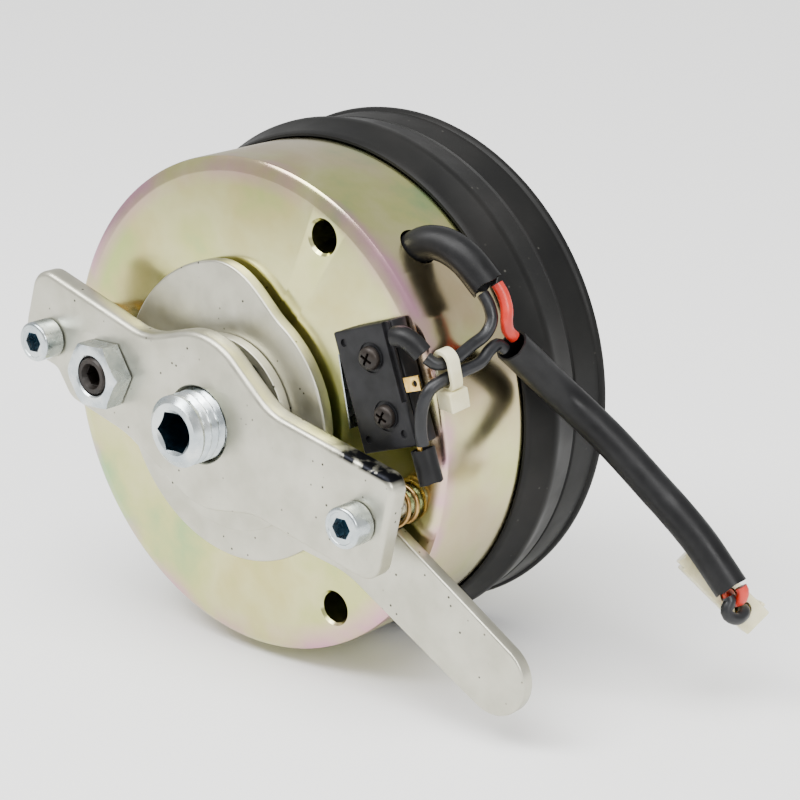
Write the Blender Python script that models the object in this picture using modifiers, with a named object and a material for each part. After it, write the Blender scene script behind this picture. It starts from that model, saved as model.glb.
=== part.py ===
"""Spring-applied electromagnetic brake/clutch with hand release and microswitch.

The part's frame: origin on the shaft axis at the flange's mounting face, +Y out of that face
along the shaft, +Z up. The unit lies on the -Y side, with its rear face at y = -50 mm.

Turned and flat pieces are drawn in an axis frame whose local +Z is the part's +Y. A place on
the rear face (x to the right, z up, seen from behind) is therefore at local (x, -z).
"""

import math

import bmesh
import bpy
from mathutils import Matrix, Vector

MM = 0.001
GAP = 0.3  # kept between neighbouring solids, mm
ROUND = 48  # sides of the large turned pieces
SMALL = 16  # sides of holes and small round pieces

# Driving dimensions, mm. "y" values are stations along the shaft.
BODY_R = 52.5
REAR_Y = -50.0
BODY_FRONT_Y = -21.2
BOLT_CIRCLE_R = 45.0
BOLT_ANGLES = (60.0, -60.0, 180.0)
BOLT_HOLE_R = 3.3
SLEEVE_R = 5.5
SLEEVE_SEAT_Y = -33.0
RELEASE_R = 44.5
RELEASE_ANGLES = {"right": -15.0, "left": 165.0}
ADJUSTER_R = 7.5
CENTRE_BORE_R = ADJUSTER_R + GAP
CAVITY_R = 19.8
CAVITY_Y = -38.0
GROOVE_IN_R = 26.0
GROOVE_OUT_R = 38.0
GROOVE_Y = -42.0
LEAD_HOLE_ANGLE = 44.8
LEAD_HOLE_Y = -38.4
LEAD_HOLE_R = 4.1

LEVER_Y = (-54.3, -51.3)
RAMP_Y = (-57.0, -54.6)
YOKE_Y = (-64.5, -59.6)
ARMATURE_Y = (-20.4, -15.0)
REAR_LINING_Y = (-14.7, -12.7)
ROTOR_Y = (-12.4, -8.6)
FRONT_LINING_Y = (-8.3, -6.3)
FLANGE_Y = (-6.0, 0.0)
HUB_Y = (-24.0, -2.0)

LEVER_TRAVEL = 70.0  # degrees
LIFT = 0.5  # how far the ramps lift the yoke over that travel

BALL_R = 2.5
BALL_CIRCLE_R = 13.0
BALL_Y = -58.3
BALL_ANGLES = (90.0, 210.0, 330.0)
RAMP_GROOVE_R = 3.05

GAP_SCREW_XZ = (-26.0, 6.8)
GAP_SCREW_R = 4.0

SWITCH_XZ = (30.4, 22.3)  # corner of the switch case
SWITCH_TURN = 17.5  # degrees, its short side against +X
SWITCH_SIZE = (14.0, 24.5)
SWITCH_SPLIT = (-4.9, -4.6)  # heights over the rear face are negative in the axis frame
SWITCH_TOP = -6.5
SWITCH_SCREWS = ((8.4, 6.2), (8.4, 17.8))
STRIP_PIVOT = (-0.65, 4.4)
STRIP_FREE_END = (-2.75, 19.2)
BUTTON_V = 9.0

WIRE_R = 1.25
TUBE_R = 3.5

# Routes of the leads, points in mm.
EXIT_SLEEVE = ((33.0, -38.4, 32.8), (37.3, -38.4, 37.0), (42.4, -37.9, 38.1), (48.1, -37.5, 35.9),
               (53.3, -36.7, 30.7))
RED_WIRE = ((54.4, -35.4, 31.2), (55.7, -35.2, 29.2), (56.9, -35.6, 26.6), (57.1, -36.0, 24.3),
            (57.1, -35.5, 22.3), (57.5, -34.1, 20.8))
BLACK_WIRE = ((52.9, -37.9, 29.5), (54.4, -38.0, 27.6), (55.5, -38.5, 24.9), (55.4, -40.4, 22.4),
              (54.9, -44.2, 20.9), (55.1, -48.9, 19.6), (54.6, -51.0, 19.2), (53.7, -53.3, 19.1),
              (52.1, -54.3, 20.3))
UPPER_SLEEVE = ((45.6, -55.6, 23.7), (47.6, -55.6, 24.0), (49.9, -55.2, 22.8), (51.5, -54.6, 21.0))
LOWER_SLEEVE = ((51.9, -55.6, 2.6), (52.8, -55.6, -0.3), (53.9, -55.5, -4.0))
RETURN_WIRE = ((52.5, -56.3, 3.6), (52.3, -56.6, 6.6), (52.5, -56.3, 10.9), (53.6, -55.0, 14.6),
               (54.9, -51.2, 16.2), (55.6, -48.2, 16.8), (56.4, -43.6, 17.6), (56.3, -40.4, 19.3),
               (56.4, -37.9, 20.0), (56.9, -36.3, 18.7))
LEAD_TUBE = ((57.3, -34.8, 19.3), (60.4, -23.0, 7.5), (69.7, -19.0, -1.7), (80.4, -17.0, -11.6),
             (83.2, -17.0, -13.7), (89.2, -16.0, -19.8), (95.9, -15.0, -28.2))
TAIL_BLACK = ((95.8, -15.9, -29.7), (96.3, -16.0, -30.6), (96.1, -16.9, -31.9),
              (96.5, -16.8, -33.2), (97.3, -15.0, -34.3), (97.4, -12.6, -34.0),
              (96.3, -10.9, -33.9), (94.5, -8.9, -34.7))
TAIL_RED = ((97.3, -13.8, -27.9), (97.7, -13.7, -28.7), (97.6, -13.7, -29.9),
            (96.6, -13.6, -31.0), (95.0, -13.2, -31.3), (93.6, -12.1, -31.1),
            (91.7, -9.8, -32.0))

# Connector at the end of the leads: its long side, its short side, and the wire side.
CONNECTOR_AT = (95.9, -15.0, -28.2)
CONNECTOR_LONG = (0.663, 0.293, -0.687)
CONNECTOR_SHORT = (0.430, 0.630, 0.645)
CONNECTOR_BOX = ((-8.6, 9.6), (-4.0, 2.2), (-14.2, -5.2))
CONNECTOR_WAYS = {"red": 1.4, "black": 5.4}
CONNECTOR_WAY_Y = -1.1

# The tie round the two switch leads: its middle and the direction of the leads there.
TIE_AT = (54.75, -51.1, 17.7)
TIE_ALONG = (0.25, 0.95, 0.18)

LOOKS = {  # colour, metallic, roughness
    "yellow_zinc": ((0.55, 0.50, 0.30), 1.0, 0.30),
    "white_zinc": ((0.60, 0.59, 0.52), 1.0, 0.42),
    "bright_steel": ((0.62, 0.65, 0.66), 1.0, 0.28),
    "black_steel": ((0.03, 0.028, 0.025), 0.8, 0.45),
    "spring_steel": ((0.45, 0.34, 0.18), 1.0, 0.35),
    "rubber": ((0.018, 0.018, 0.017), 0.0, 0.60),
    "switch_plastic": ((0.02, 0.02, 0.02), 0.0, 0.45),
    "brass": ((0.58, 0.40, 0.14), 1.0, 0.30),
    "red_wire": ((0.55, 0.05, 0.02), 0.0, 0.45),
    "black_wire": ((0.02, 0.02, 0.02), 0.0, 0.50),
    "nylon": ((0.78, 0.76, 0.60), 0.0, 0.45),
    "friction": ((0.12, 0.10, 0.08), 0.0, 0.85),
    "copper": ((0.55, 0.22, 0.10), 1.0, 0.40),
}


# --- scene and materials ------------------------------------------------------------------

def fresh_scene():
    """Remove every object, so that the part stands alone."""
    for obj in list(bpy.data.objects):
        bpy.data.objects.remove(obj, do_unlink=True)


def new_collection(name):
    """A collection linked to the scene."""
    collection = bpy.data.collections.new(name)
    bpy.context.scene.collection.children.link(collection)
    return collection


def principled(name):
    """The Principled material of that look, made once."""
    if name in bpy.data.materials:
        return bpy.data.materials[name]
    colour, metallic, roughness = LOOKS[name]
    material = bpy.data.materials.new(name)
    material.use_nodes = True
    shader = material.node_tree.nodes["Principled BSDF"]
    shader.inputs["Base Color"].default_value = (*colour, 1.0)
    shader.inputs["Metallic"].default_value = metallic
    shader.inputs["Roughness"].default_value = roughness
    material.diffuse_color = (*colour, 1.0)
    return material


fresh_scene()
PARTS = new_collection("electromagnetic_clutch")
CUTTERS = new_collection("cutters")


def new_frame(name, location=(0.0, 0.0, 0.0), turn=0.0, parent=None):
    """An empty whose local +Z is the part's +Y; with a parent, it lies in the parent's frame."""
    frame = bpy.data.objects.new(name, None)
    frame.empty_display_size = 0.01
    frame.location = [value * MM for value in location]
    if parent is None:
        frame.rotation_euler = (math.radians(-90.0), 0.0, 0.0)
    else:
        frame.parent = parent
        frame.rotation_euler = (0.0, 0.0, math.radians(turn))
    PARTS.objects.link(frame)
    return frame


def new_object(name, data, look, frame):
    """An object in the parts' collection, or a hidden cutter where look is None."""
    obj = bpy.data.objects.new(name, data)
    obj.parent = frame
    if look is None:
        CUTTERS.objects.link(obj)
        obj.hide_render = True
        obj.display_type = "WIRE"
    else:
        PARTS.objects.link(obj)
        data.materials.append(principled(look))
    return obj


# --- shapes -------------------------------------------------------------------------------

def mesh_from(bm, name):
    """Move a bmesh into a new mesh."""
    mesh = bpy.data.meshes.new(name)
    bm.to_mesh(mesh)
    bm.free()
    return mesh


def turned(name, profile, look, frame, steps=ROUND):
    """A turned piece. The profile's (radius, height) points run down its outer side."""
    bm = bmesh.new()
    verts = [bm.verts.new((radius * MM, 0.0, height * MM)) for radius, height in profile]
    on_axis = profile[0][0] == 0.0 and profile[-1][0] == 0.0
    ends = zip(verts, verts[1:]) if on_axis else zip(verts, verts[1:] + verts[:1])
    for first, second in ends:
        bm.edges.new((first, second))
    obj = new_object(name, mesh_from(bm, name), look, frame)
    screw = obj.modifiers.new("turn", "SCREW")
    screw.axis = "Z"
    screw.steps = steps
    screw.render_steps = steps
    screw.use_merge_vertices = True
    screw.merge_threshold = 0.00001
    return obj


def ring(name, inner, outer, stations, look, frame, steps=ROUND):
    """A plain turned ring between two stations."""
    low, high = stations
    profile = ((outer, high), (outer, low), (inner, low), (inner, high))
    return turned(name, profile, look, frame, steps)


def cylinder(name, radius, stations, at=(0.0, 0.0), look=None, frame=None, sides=SMALL):
    """A cylinder or prism along the frame's Z, at a rear-face place (x, z)."""
    low, high = stations
    bm = bmesh.new()
    bmesh.ops.create_cone(bm, cap_ends=True, segments=sides, radius1=radius * MM,
                          radius2=radius * MM, depth=(high - low) * MM)
    bmesh.ops.translate(bm, vec=(at[0] * MM, -at[1] * MM, (low + high) / 2 * MM), verts=bm.verts)
    return new_object(name, mesh_from(bm, name), look, frame)


def box(name, spans, look, frame):
    """A box given by its (low, high) spans along the frame's axes."""
    bm = bmesh.new()
    bmesh.ops.create_cube(bm, size=1.0)
    sizes = [(high - low) * MM for low, high in spans]
    middle = [(high + low) / 2 * MM for low, high in spans]
    bmesh.ops.scale(bm, vec=sizes, verts=bm.verts)
    bmesh.ops.translate(bm, vec=middle, verts=bm.verts)
    return new_object(name, mesh_from(bm, name), look, frame)


def ball(name, radius, at, height, look, frame):
    """A sphere centred at a rear-face place and a station."""
    bm = bmesh.new()
    bmesh.ops.create_uvsphere(bm, u_segments=12, v_segments=8, radius=radius * MM)
    bmesh.ops.translate(bm, vec=(at[0] * MM, -at[1] * MM, height * MM), verts=bm.verts)
    return new_object(name, mesh_from(bm, name), look, frame)


def rounded(corners, step=18.0):
    """Points of an outline whose (x, z, radius) corners are replaced by arcs."""
    points = []
    count = len(corners)
    for index, (x, z, radius) in enumerate(corners):
        corner = Vector((x, z))
        if radius == 0.0:
            points.append(corner)
            continue
        before = (Vector(corners[index - 1][:2]) - corner).normalized()
        after = (Vector(corners[(index + 1) % count][:2]) - corner).normalized()
        half = math.acos(max(-1.0, min(1.0, before.dot(after)))) / 2
        centre = corner + (before + after).normalized() * (radius / math.sin(half))
        start = corner + before * (radius / math.tan(half)) - centre
        end = corner + after * (radius / math.tan(half)) - centre
        sweep = math.copysign(math.pi - 2 * half, start.x * end.y - start.y * end.x)
        pieces = max(2, round(abs(math.degrees(sweep)) / step))
        for piece in range(pieces + 1):
            points.append(centre + Matrix.Rotation(sweep * piece / pieces, 2) @ start)
    return points


def flat_piece(name, outline, stations, look, frame, rim=0.0):
    """A flat piece of that outline between two stations, with rounded rims of radius rim."""
    low, high = stations
    curve = bpy.data.curves.new(name, "CURVE")
    curve.dimensions = "2D"
    curve.fill_mode = "BOTH"
    curve.extrude = ((high - low) / 2 - rim) * MM
    curve.bevel_depth = rim * MM
    curve.bevel_resolution = 0
    curve.offset = -rim * MM
    curve.render_resolution_u = 0
    spline = curve.splines.new("POLY")
    spline.points.add(len(outline) - 1)
    for point, (x, z) in zip(spline.points, outline):
        point.co = (x * MM, -z * MM, 0.0, 1.0)
    spline.use_cyclic_u = True
    guide = new_object(name + "_outline", curve, look, frame)
    guide.location.z = (low + high) / 2 * MM
    return made_mesh(guide, name)


def made_mesh(guide, name):
    """Turn a curve or modified object into a plain mesh object in the same place."""
    bpy.context.view_layer.update()
    evaluated = guide.evaluated_get(bpy.context.evaluated_depsgraph_get())
    mesh = bpy.data.meshes.new_from_object(evaluated)
    mesh.name = name
    bm = bmesh.new()
    bm.from_mesh(mesh)
    bmesh.ops.remove_doubles(bm, verts=bm.verts, dist=0.00001)
    bm.to_mesh(mesh)
    bm.free()
    obj = bpy.data.objects.new(name, mesh)
    for collection in guide.users_collection:
        collection.objects.link(obj)
    obj.matrix_world = guide.matrix_world
    obj.hide_render = guide.hide_render
    obj.display_type = guide.display_type
    bpy.data.objects.remove(guide, do_unlink=True)
    obj.name = name
    return obj


def cut(obj, cutter, operation="DIFFERENCE"):
    """Cut one solid with another, or join them."""
    modifier = obj.modifiers.new(cutter.name, "BOOLEAN")
    modifier.solver = "EXACT"
    modifier.operation = operation
    modifier.object = cutter


def soften(obj, width):
    """Chamfer the sharp edges of a box."""
    bevel = obj.modifiers.new("rim", "BEVEL")
    bevel.width = width * MM
    bevel.segments = 1
    bevel.limit_method = "ANGLE"
    bevel.angle_limit = math.radians(50.0)


def shade(obj):
    """Apply the modifiers and shade the curved faces smooth, with sharp rims."""
    name = obj.name
    obj.name = name + "_made"
    finished = made_mesh(obj, name)
    finished.data.shade_smooth()
    finished.data.set_sharp_from_angle(angle=math.radians(35.0))
    return finished


def smooth_route(points, spacing):
    """Evenly spaced points on the Catmull-Rom curve through a route's points, in metres."""
    knots = [Vector(point) for point in points]
    knots = [2 * knots[0] - knots[1]] + knots + [2 * knots[-1] - knots[-2]]
    fine = []
    for p0, p1, p2, p3 in zip(knots, knots[1:], knots[2:], knots[3:]):
        for part in range(20):
            t = part / 20
            fine.append(0.5 * (2 * p1 + (p2 - p0) * t + (2 * p0 - 5 * p1 + 4 * p2 - p3) * t * t
                               + (3 * p1 - p0 - 3 * p2 + p3) * t ** 3))
    fine.append(knots[-2])
    lengths = [0.0]
    for first, second in zip(fine, fine[1:]):
        lengths.append(lengths[-1] + (second - first).length)
    pieces = max(3, round(lengths[-1] / spacing))
    chosen = []
    for piece in range(pieces + 1):
        target = lengths[-1] * piece / pieces
        index = min(range(len(fine)), key=lambda i: abs(lengths[i] - target))
        chosen.append(fine[index] * MM)
    return chosen


def wire(name, points, radius, look, frame=None):
    """A round wire or tube along points in metres."""
    curve = bpy.data.curves.new(name, "CURVE")
    curve.dimensions = "3D"
    curve.bevel_depth = radius * MM
    curve.bevel_resolution = 2
    curve.use_fill_caps = True
    curve.render_resolution_u = 0
    spline = curve.splines.new("POLY")
    spline.points.add(len(points) - 1)
    for spline_point, point in zip(spline.points, points):
        spline_point.co = (*point, 1.0)
    return new_object(name, curve, look, frame)


def coil_points(radius, stations, turns, at=(0.0, 0.0), per_turn=10):
    """Points of a helix between two stations, in the axis frame."""
    low, high = stations
    count = round(turns * per_turn)
    points = []
    for index in range(count + 1):
        angle = 2 * math.pi * index / per_turn
        points.append(Vector((at[0] + radius * math.cos(angle), -at[1] + radius * math.sin(angle),
                              low + (high - low) * index / count)) * MM)
    return points


def polar(radius, degrees):
    """A rear-face place (x, z) at that radius and angle."""
    return (radius * math.cos(math.radians(degrees)), radius * math.sin(math.radians(degrees)))


# --- magnet -------------------------------------------------------------------------------

def build_magnet(frame):
    """Steel cup with its coil, spring, bolts and adjuster."""
    body = turned("magnet_body", (
        (BODY_R, BODY_FRONT_Y), (BODY_R, -48.4), (51.4, -49.55), (49.5, REAR_Y),
        (CENTRE_BORE_R, REAR_Y), (CENTRE_BORE_R, CAVITY_Y), (CAVITY_R, CAVITY_Y),
        (CAVITY_R, BODY_FRONT_Y), (GROOVE_IN_R, BODY_FRONT_Y), (GROOVE_IN_R, GROOVE_Y),
        (GROOVE_OUT_R, GROOVE_Y), (GROOVE_OUT_R, BODY_FRONT_Y)), "yellow_zinc", frame)
    for number, angle in enumerate(BOLT_ANGLES, start=1):
        place = polar(BOLT_CIRCLE_R, angle)
        cut(body, cylinder(f"cut_bolt_{number}", BOLT_HOLE_R, (-52, -20), place, None, frame))
        cut(body, cylinder(f"cut_seat_{number}", SLEEVE_R + GAP, (SLEEVE_SEAT_Y, -20), place,
                           None, frame))
        sleeve = cylinder(f"sleeve_bolt_{number}", SLEEVE_R, (SLEEVE_SEAT_Y + GAP, -6.3), place,
                          "bright_steel", frame)
        cut(sleeve, cylinder(f"cut_sleeve_{number}", BOLT_HOLE_R, (-34, -5), place, None, frame))
        shade(sleeve)
    for side, angle in RELEASE_ANGLES.items():
        cut(body, cylinder(f"cut_release_{side}", 3.0, (-52, -20), polar(RELEASE_R, angle), None,
                           frame))
    for number, (u, v) in enumerate(SWITCH_SCREWS, start=1):
        cut(body, cylinder(f"cut_tapped_{number}", 1.6, (-52, -45.0), switch_place(u, v), None,
                           frame, 12))
    lead_hole = cylinder("cut_lead", LEAD_HOLE_R, (36.0, 56.0), (0.0, 0.0), None, None)
    lead_hole.parent = frame
    lead_hole.location = (0.0, 0.0, LEAD_HOLE_Y * MM)
    lead_hole.rotation_euler = (0.0, math.radians(90.0), math.radians(-LEAD_HOLE_ANGLE))
    cut(body, lead_hole)
    shade(body)

    inner = GROOVE_IN_R + GAP
    outer = GROOVE_OUT_R - GAP
    floor = GROOVE_Y + GAP
    front = BODY_FRONT_Y - GAP
    shade(turned("coil_former", (
        (outer, front), (outer, front - 1), (inner + 1, front - 1), (inner + 1, floor + 1),
        (outer, floor + 1), (outer, floor), (inner, floor), (inner, front)), "switch_plastic",
        frame, 36))
    shade(ring("coil_winding", inner + 1 + GAP, outer - 0.3, (floor + 1 + GAP, front - 1 - GAP),
               "copper", frame, 36))

    adjuster = turned("torque_adjuster", (
        (0, -36), (6.5, -36), (ADJUSTER_R, -37), (ADJUSTER_R, -69.9), (5.85, -71.5), (0, -71.5)),
        "bright_steel", frame, 32)
    cut(adjuster, cylinder("cut_adjuster_socket", 4.0 / math.cos(math.pi / 6), (-73, -63.5),
                           (0, 0), None, frame, 6))
    shade(adjuster)
    shade(turned("spring_plate", ((0, -32.7), (18.5, -32.7), (19.3, -33.5), (19.3, -35.7),
                                  (0, -35.7)), "bright_steel", frame, 32))
    wire("torque_spring", coil_points(17.0, (-31.2, -21.9), 2.5, per_turn=12), 1.2, "spring_steel",
         frame)
    shade(ring("thrust_washer", CENTRE_BORE_R, 12.0, (-51.0, -50.3), "bright_steel", frame, 32))
    for side, angle in RELEASE_ANGLES.items():
        points = coil_points(3.7, (-58.8, -50.8), 3.5, polar(RELEASE_R, angle), 8)
        wire(f"release_spring_{side}", points, 0.5, "spring_steel", frame)


def build_friction_side(frame, hub_frame):
    """Flange, dust ring, brake disc with its linings, and hub."""
    flange = ring("flange_plate", 17.0, BODY_R, FLANGE_Y, "yellow_zinc", frame)
    for number, angle in enumerate(BOLT_ANGLES, start=1):
        cut(flange, cylinder(f"cut_flange_{number}", BOLT_HOLE_R, (-7, 1),
                             polar(BOLT_CIRCLE_R, angle), None, frame))
    shade(flange)
    inner = BODY_R + GAP
    shade(turned("cover_ring", (
        (inner, -0.4), (55.3, -0.4), (55.6, -1.2), (54.8, -2.4), (54.7, -9.4), (54.1, -9.9),
        (54.7, -10.4), (55.8, -17.0), (55.6, -18.5), (53.3, -25.0), (inner, -25.0)), "rubber",
        frame))
    teeth = toothed_outline(11.5, 13.5)
    hub = flat_piece("hub", teeth, HUB_Y, "bright_steel", hub_frame)
    cut(hub, cylinder("cut_shaft", 7.5, (-26, 0), (0, 0), None, hub_frame, 32))
    shade(hub)
    rotor = ring("rotor_disc", 8.0, 38.5, ROTOR_Y, "white_zinc", hub_frame)
    cut(rotor, flat_piece("cut_spline", toothed_outline(11.9, 13.9, 1.6), (-14, -7), None,
                          hub_frame))
    shade(rotor)
    for name, stations in (("lining_rear", REAR_LINING_Y), ("lining_front", FRONT_LINING_Y)):
        shade(ring(name, 24.0, 38.5, stations, "friction", hub_frame, 48))


def toothed_outline(root, tip, slack=0.0, teeth=8):
    """Outline of a splined hub with straight flanks; slack widens each tooth, in degrees."""
    points = []
    for tooth in range(teeth):
        middle = 360.0 * tooth / teeth
        for radius, offset in ((root, -14.0 - slack), (tip, -9.0 - slack), (tip, 9.0 + slack),
                               (root, 14.0 + slack)):
            points.append(polar(radius, middle + offset))
    return points


# --- release gear -------------------------------------------------------------------------

def lever_outline():
    """Cam disc with two radii, and the arm with its round end."""
    small, large = 25.3, 31.9
    outline = []
    for degrees in range(-10, 308, 9):
        rise = max(0.0, min(1.0, (degrees - 55) / 42.0))
        blend = (1 - math.cos(math.pi * rise)) / 2
        outline.append((*polar(small + (large - small) * blend, degrees), 0.0))
    outline.append((30.0, -28.3, 20.0))
    end_x, end_z, end_radius = 67.0, -41.3, 7.8
    for step in range(13):
        x, z = polar(end_radius, -120.8 + 15 * step)
        outline.append((end_x + x, end_z + z, 0.0))
    return rounded(outline)


def ramp_outline():
    """Small disc that widens below the axis, where it rests on the lever."""
    small, large = 17.0, 24.5
    return [Vector(polar(large if 204 <= degrees <= 336 else small, degrees))
            for degrees in range(0, 360, 6)]


def build_lever(frame):
    """Release lever and the ramp disc on it."""
    lever = flat_piece("release_lever", lever_outline(), LEVER_Y, "white_zinc", frame, rim=0.5)
    cut(lever, cylinder("cut_lever_bore", CENTRE_BORE_R, (-56, -50), (0, 0), None, frame, 32))
    cut(lever, cylinder("cut_lever_relief", 5.0, (-56, -50),
                        polar(RELEASE_R, RELEASE_ANGLES["right"]), None, frame, 24))
    shade(lever)
    disc = flat_piece("ramp_disc", ramp_outline(), RAMP_Y, "white_zinc", frame)
    cut(disc, cylinder("cut_disc_bore", CENTRE_BORE_R, (-58, -53), (0, 0), None, frame, 32))
    for number, angle in enumerate(BALL_ANGLES, start=1):
        route = []
        for along in range(-14, int(LEVER_TRAVEL) + 15, 14):
            x, z = polar(BALL_CIRCLE_R, angle + along)
            lift = LIFT * max(0.0, min(1.0, along / LEVER_TRAVEL))
            route.append(Vector((x, -z, BALL_Y - lift)) * MM)
        cutter = wire(f"cut_ramp_{number}_route", route, RAMP_GROOVE_R, None, frame)
        cut(disc, made_mesh(cutter, f"cut_ramp_{number}"))
    shade(disc)


def build_yoke(frame):
    """Yoke, its screws and balls, and the armature that the screws pull."""
    corners = ((-46.7, 27.0, 5), (-14.5, 16.2, 14), (4.2, 20.8, 15), (19.8, 6.2, 14),
               (52.3, -1.8, 3.5), (46.4, -24.3, 4.2), (14.1, -16.5, 14), (-1.5, -18.6, 14),
               (-22.1, -6.1, 20), (-38.5, -1.2, 5), (-42.3, 4.8, 3), (-52.6, 7.6, 4),
               (-50.9, 14.7, 0), (-48.4, 21.9, 0))
    yoke = flat_piece("yoke_plate", rounded(corners), YOKE_Y, "white_zinc", frame, rim=1.2)
    cut(yoke, cylinder("cut_yoke_bore", 8.1, (-66, -58), (0, 0), None, frame, 32))
    cut(yoke, cylinder("cut_gap_screw", GAP_SCREW_R + GAP, (-66, -58), GAP_SCREW_XZ, None, frame))
    armature = ring("armature_plate", 14.5, 50.5, ARMATURE_Y, "yellow_zinc", frame)
    for number, angle in enumerate(BOLT_ANGLES, start=1):
        cut(armature, cylinder(f"cut_notch_{number}", 6.0, (-22, -13),
                               polar(BOLT_CIRCLE_R, angle), None, frame))
    for side, angle in RELEASE_ANGLES.items():
        place = polar(RELEASE_R, angle)
        cut(yoke, cylinder(f"cut_yoke_{side}", 2.8, (-66, -58), place, None, frame))
        cut(armature, cylinder(f"cut_armature_{side}", 2.8, (-22, -13), place, None, frame))
        screw = turned(f"release_screw_{side}", (
            (0, -15.6), (2.5, -15.6), (2.5, -64.8), (4.25, -64.8), (4.25, -69.3), (3.85, -69.8),
            (0, -69.8)), "bright_steel", frame, SMALL)
        screw.location = (place[0] * MM, -place[1] * MM, 0.0)
        cut(screw, cylinder(f"cut_key_{side}", 2.0 / math.cos(math.pi / 6), (-71, -67.0), place,
                            None, frame, 6))
        shade(screw)
    for number, angle in enumerate(BALL_ANGLES, start=1):
        place = polar(BALL_CIRCLE_R, angle)
        cut(yoke, ball(f"cut_pocket_{number}", BALL_R + GAP, place, BALL_Y, None, frame))
        ball(f"ball_{number}", BALL_R, place, BALL_Y, "bright_steel", frame)
    shade(yoke)
    shade(armature)

    screw = cylinder("gap_screw", GAP_SCREW_R, (-69.3, -57.4), GAP_SCREW_XZ, "black_steel", frame)
    cut(screw, cylinder("cut_gap_screw_key", 2.0 / math.cos(math.pi / 6), (-71, -62.5),
                        GAP_SCREW_XZ, None, frame, 6))
    shade(screw)
    nut = cylinder("lock_nut", 6.5 / math.cos(math.pi / 6), (-69.3, -64.8), GAP_SCREW_XZ,
                   "bright_steel", frame, 6)
    cut(nut, cylinder("cut_nut_thread", GAP_SCREW_R + GAP, (-71, -63), GAP_SCREW_XZ, None, frame))
    shade(nut)


# --- microswitch --------------------------------------------------------------------------

def switch_place(u, v):
    """The rear-face place (x, z) of a point in the switch's own (u, v) directions."""
    turn = math.radians(SWITCH_TURN)
    return (SWITCH_XZ[0] + u * math.cos(turn) + v * math.sin(turn),
            SWITCH_XZ[1] + u * math.sin(turn) - v * math.cos(turn))


def build_switch(frame):
    """Microswitch with its strip, button, screws, terminals and their sleeves."""
    corner = (SWITCH_XZ[0], -SWITCH_XZ[1], REAR_Y)
    switch = new_frame("switch_frame", corner, -SWITCH_TURN, frame)
    width, length = SWITCH_SIZE
    low, high = SWITCH_SPLIT
    base = box("switch_base", ((0, width), (0, length), (high, -GAP)), "switch_plastic", switch)
    cover = box("switch_cover", ((0, width), (0, length), (SWITCH_TOP, low)), "switch_plastic",
                switch)
    for piece in (base, cover):
        soften(piece, 0.4)
    for place, label in zip(SWITCH_SCREWS, ("upper", "lower")):
        u, v = place
        bore = cylinder(f"cut_switch_{label}", 1.5, (-9, 1), (u, -v), None, switch, 12)
        cut(base, bore)
        cut(cover, bore)
        shade(turned_at(f"switch_screw_{label}", (
            (0, 4.5), (1.2, 4.5), (1.2, SWITCH_TOP - GAP), (2.4, SWITCH_TOP - GAP),
            (2.0, SWITCH_TOP - 1.5), (0, SWITCH_TOP - 1.8)), (u, v), "black_steel", switch))
    pocket = box("cut_button", ((-1, 3.6), (BUTTON_V - 1.4, BUTTON_V + 1.4), (-3.9, -1.1)), None,
                 switch)
    cut(base, pocket)
    shade(base)
    shade(cover)

    pivot = new_frame("strip_pivot", (*STRIP_PIVOT, -3.8), 0.0, switch)
    along = Vector(STRIP_FREE_END) - Vector(STRIP_PIVOT)
    pivot.rotation_euler.z = math.atan2(along.y, along.x)
    box("switch_strip", ((0, along.length), (-0.15, 0.15), (-2.0, 2.0)), "bright_steel", pivot)
    box("switch_button", ((-0.7, 2.9), (BUTTON_V - 1.0, BUTTON_V + 1.0), (-3.5, -1.5)),
        "switch_plastic", switch)

    blades = (("upper", ((width + GAP, 17.0), (2.2, 4.4)), (-5.85, -5.35)),
              ("middle", ((width + GAP, 18.1), (11.2, 14.2)), (-5.85, -5.35)),
              ("lower", ((12.9, 13.9), (length + GAP, 28.4)), (-5.5, -4.9)))
    for label, (across, down), thick in blades:
        box(f"switch_terminal_{label}", (across, down, thick), "brass", switch)
    upper = wire("terminal_sleeve_upper", smooth_route(UPPER_SLEEVE, 1.5), 2.1, "black_wire")
    lower = wire("terminal_sleeve_lower", smooth_route(LOWER_SLEEVE, 1.8), 2.4, "black_wire")
    upper = made_mesh(upper, "terminal_sleeve_upper")
    lower = made_mesh(lower, "terminal_sleeve_lower")
    cut(upper, box("cut_blade_upper", ((width, 17.4), (1.9, 4.7), (-6.15, -5.05)), None, switch))
    cut(lower, box("cut_blade_lower", ((12.55, 14.25), (length, 28.8), (-5.85, -4.55)), None,
                   switch))
    shade(upper)
    shade(lower)


def turned_at(name, profile, place, look, frame):
    """A small turned piece whose axis stands at (u, v) in its frame."""
    piece = turned(name, profile, look, frame, 14)
    piece.location = (place[0] * MM, place[1] * MM, 0.0)
    return piece


# --- leads --------------------------------------------------------------------------------

def build_leads():
    """Exit sleeve, wires, tie, heat-shrink tube and connector."""
    wire("exit_sleeve", smooth_route(EXIT_SLEEVE, 3.0), TUBE_R, "rubber")
    wire("coil_wire_red", smooth_route(RED_WIRE, 2.0), WIRE_R, "red_wire")
    wire("coil_wire_black", smooth_route(BLACK_WIRE, 2.2), WIRE_R, "black_wire")
    wire("return_wire_black", smooth_route(RETURN_WIRE, 2.4), WIRE_R, "black_wire")
    wire("lead_tube", smooth_route(LEAD_TUBE, 5.0), TUBE_R, "rubber")
    wire("tail_wire_red", smooth_route(TAIL_RED, 1.5), WIRE_R, "red_wire")
    wire("tail_wire_black", smooth_route(TAIL_BLACK, 1.5), WIRE_R, "black_wire")
    build_tie()
    build_connector()


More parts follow.
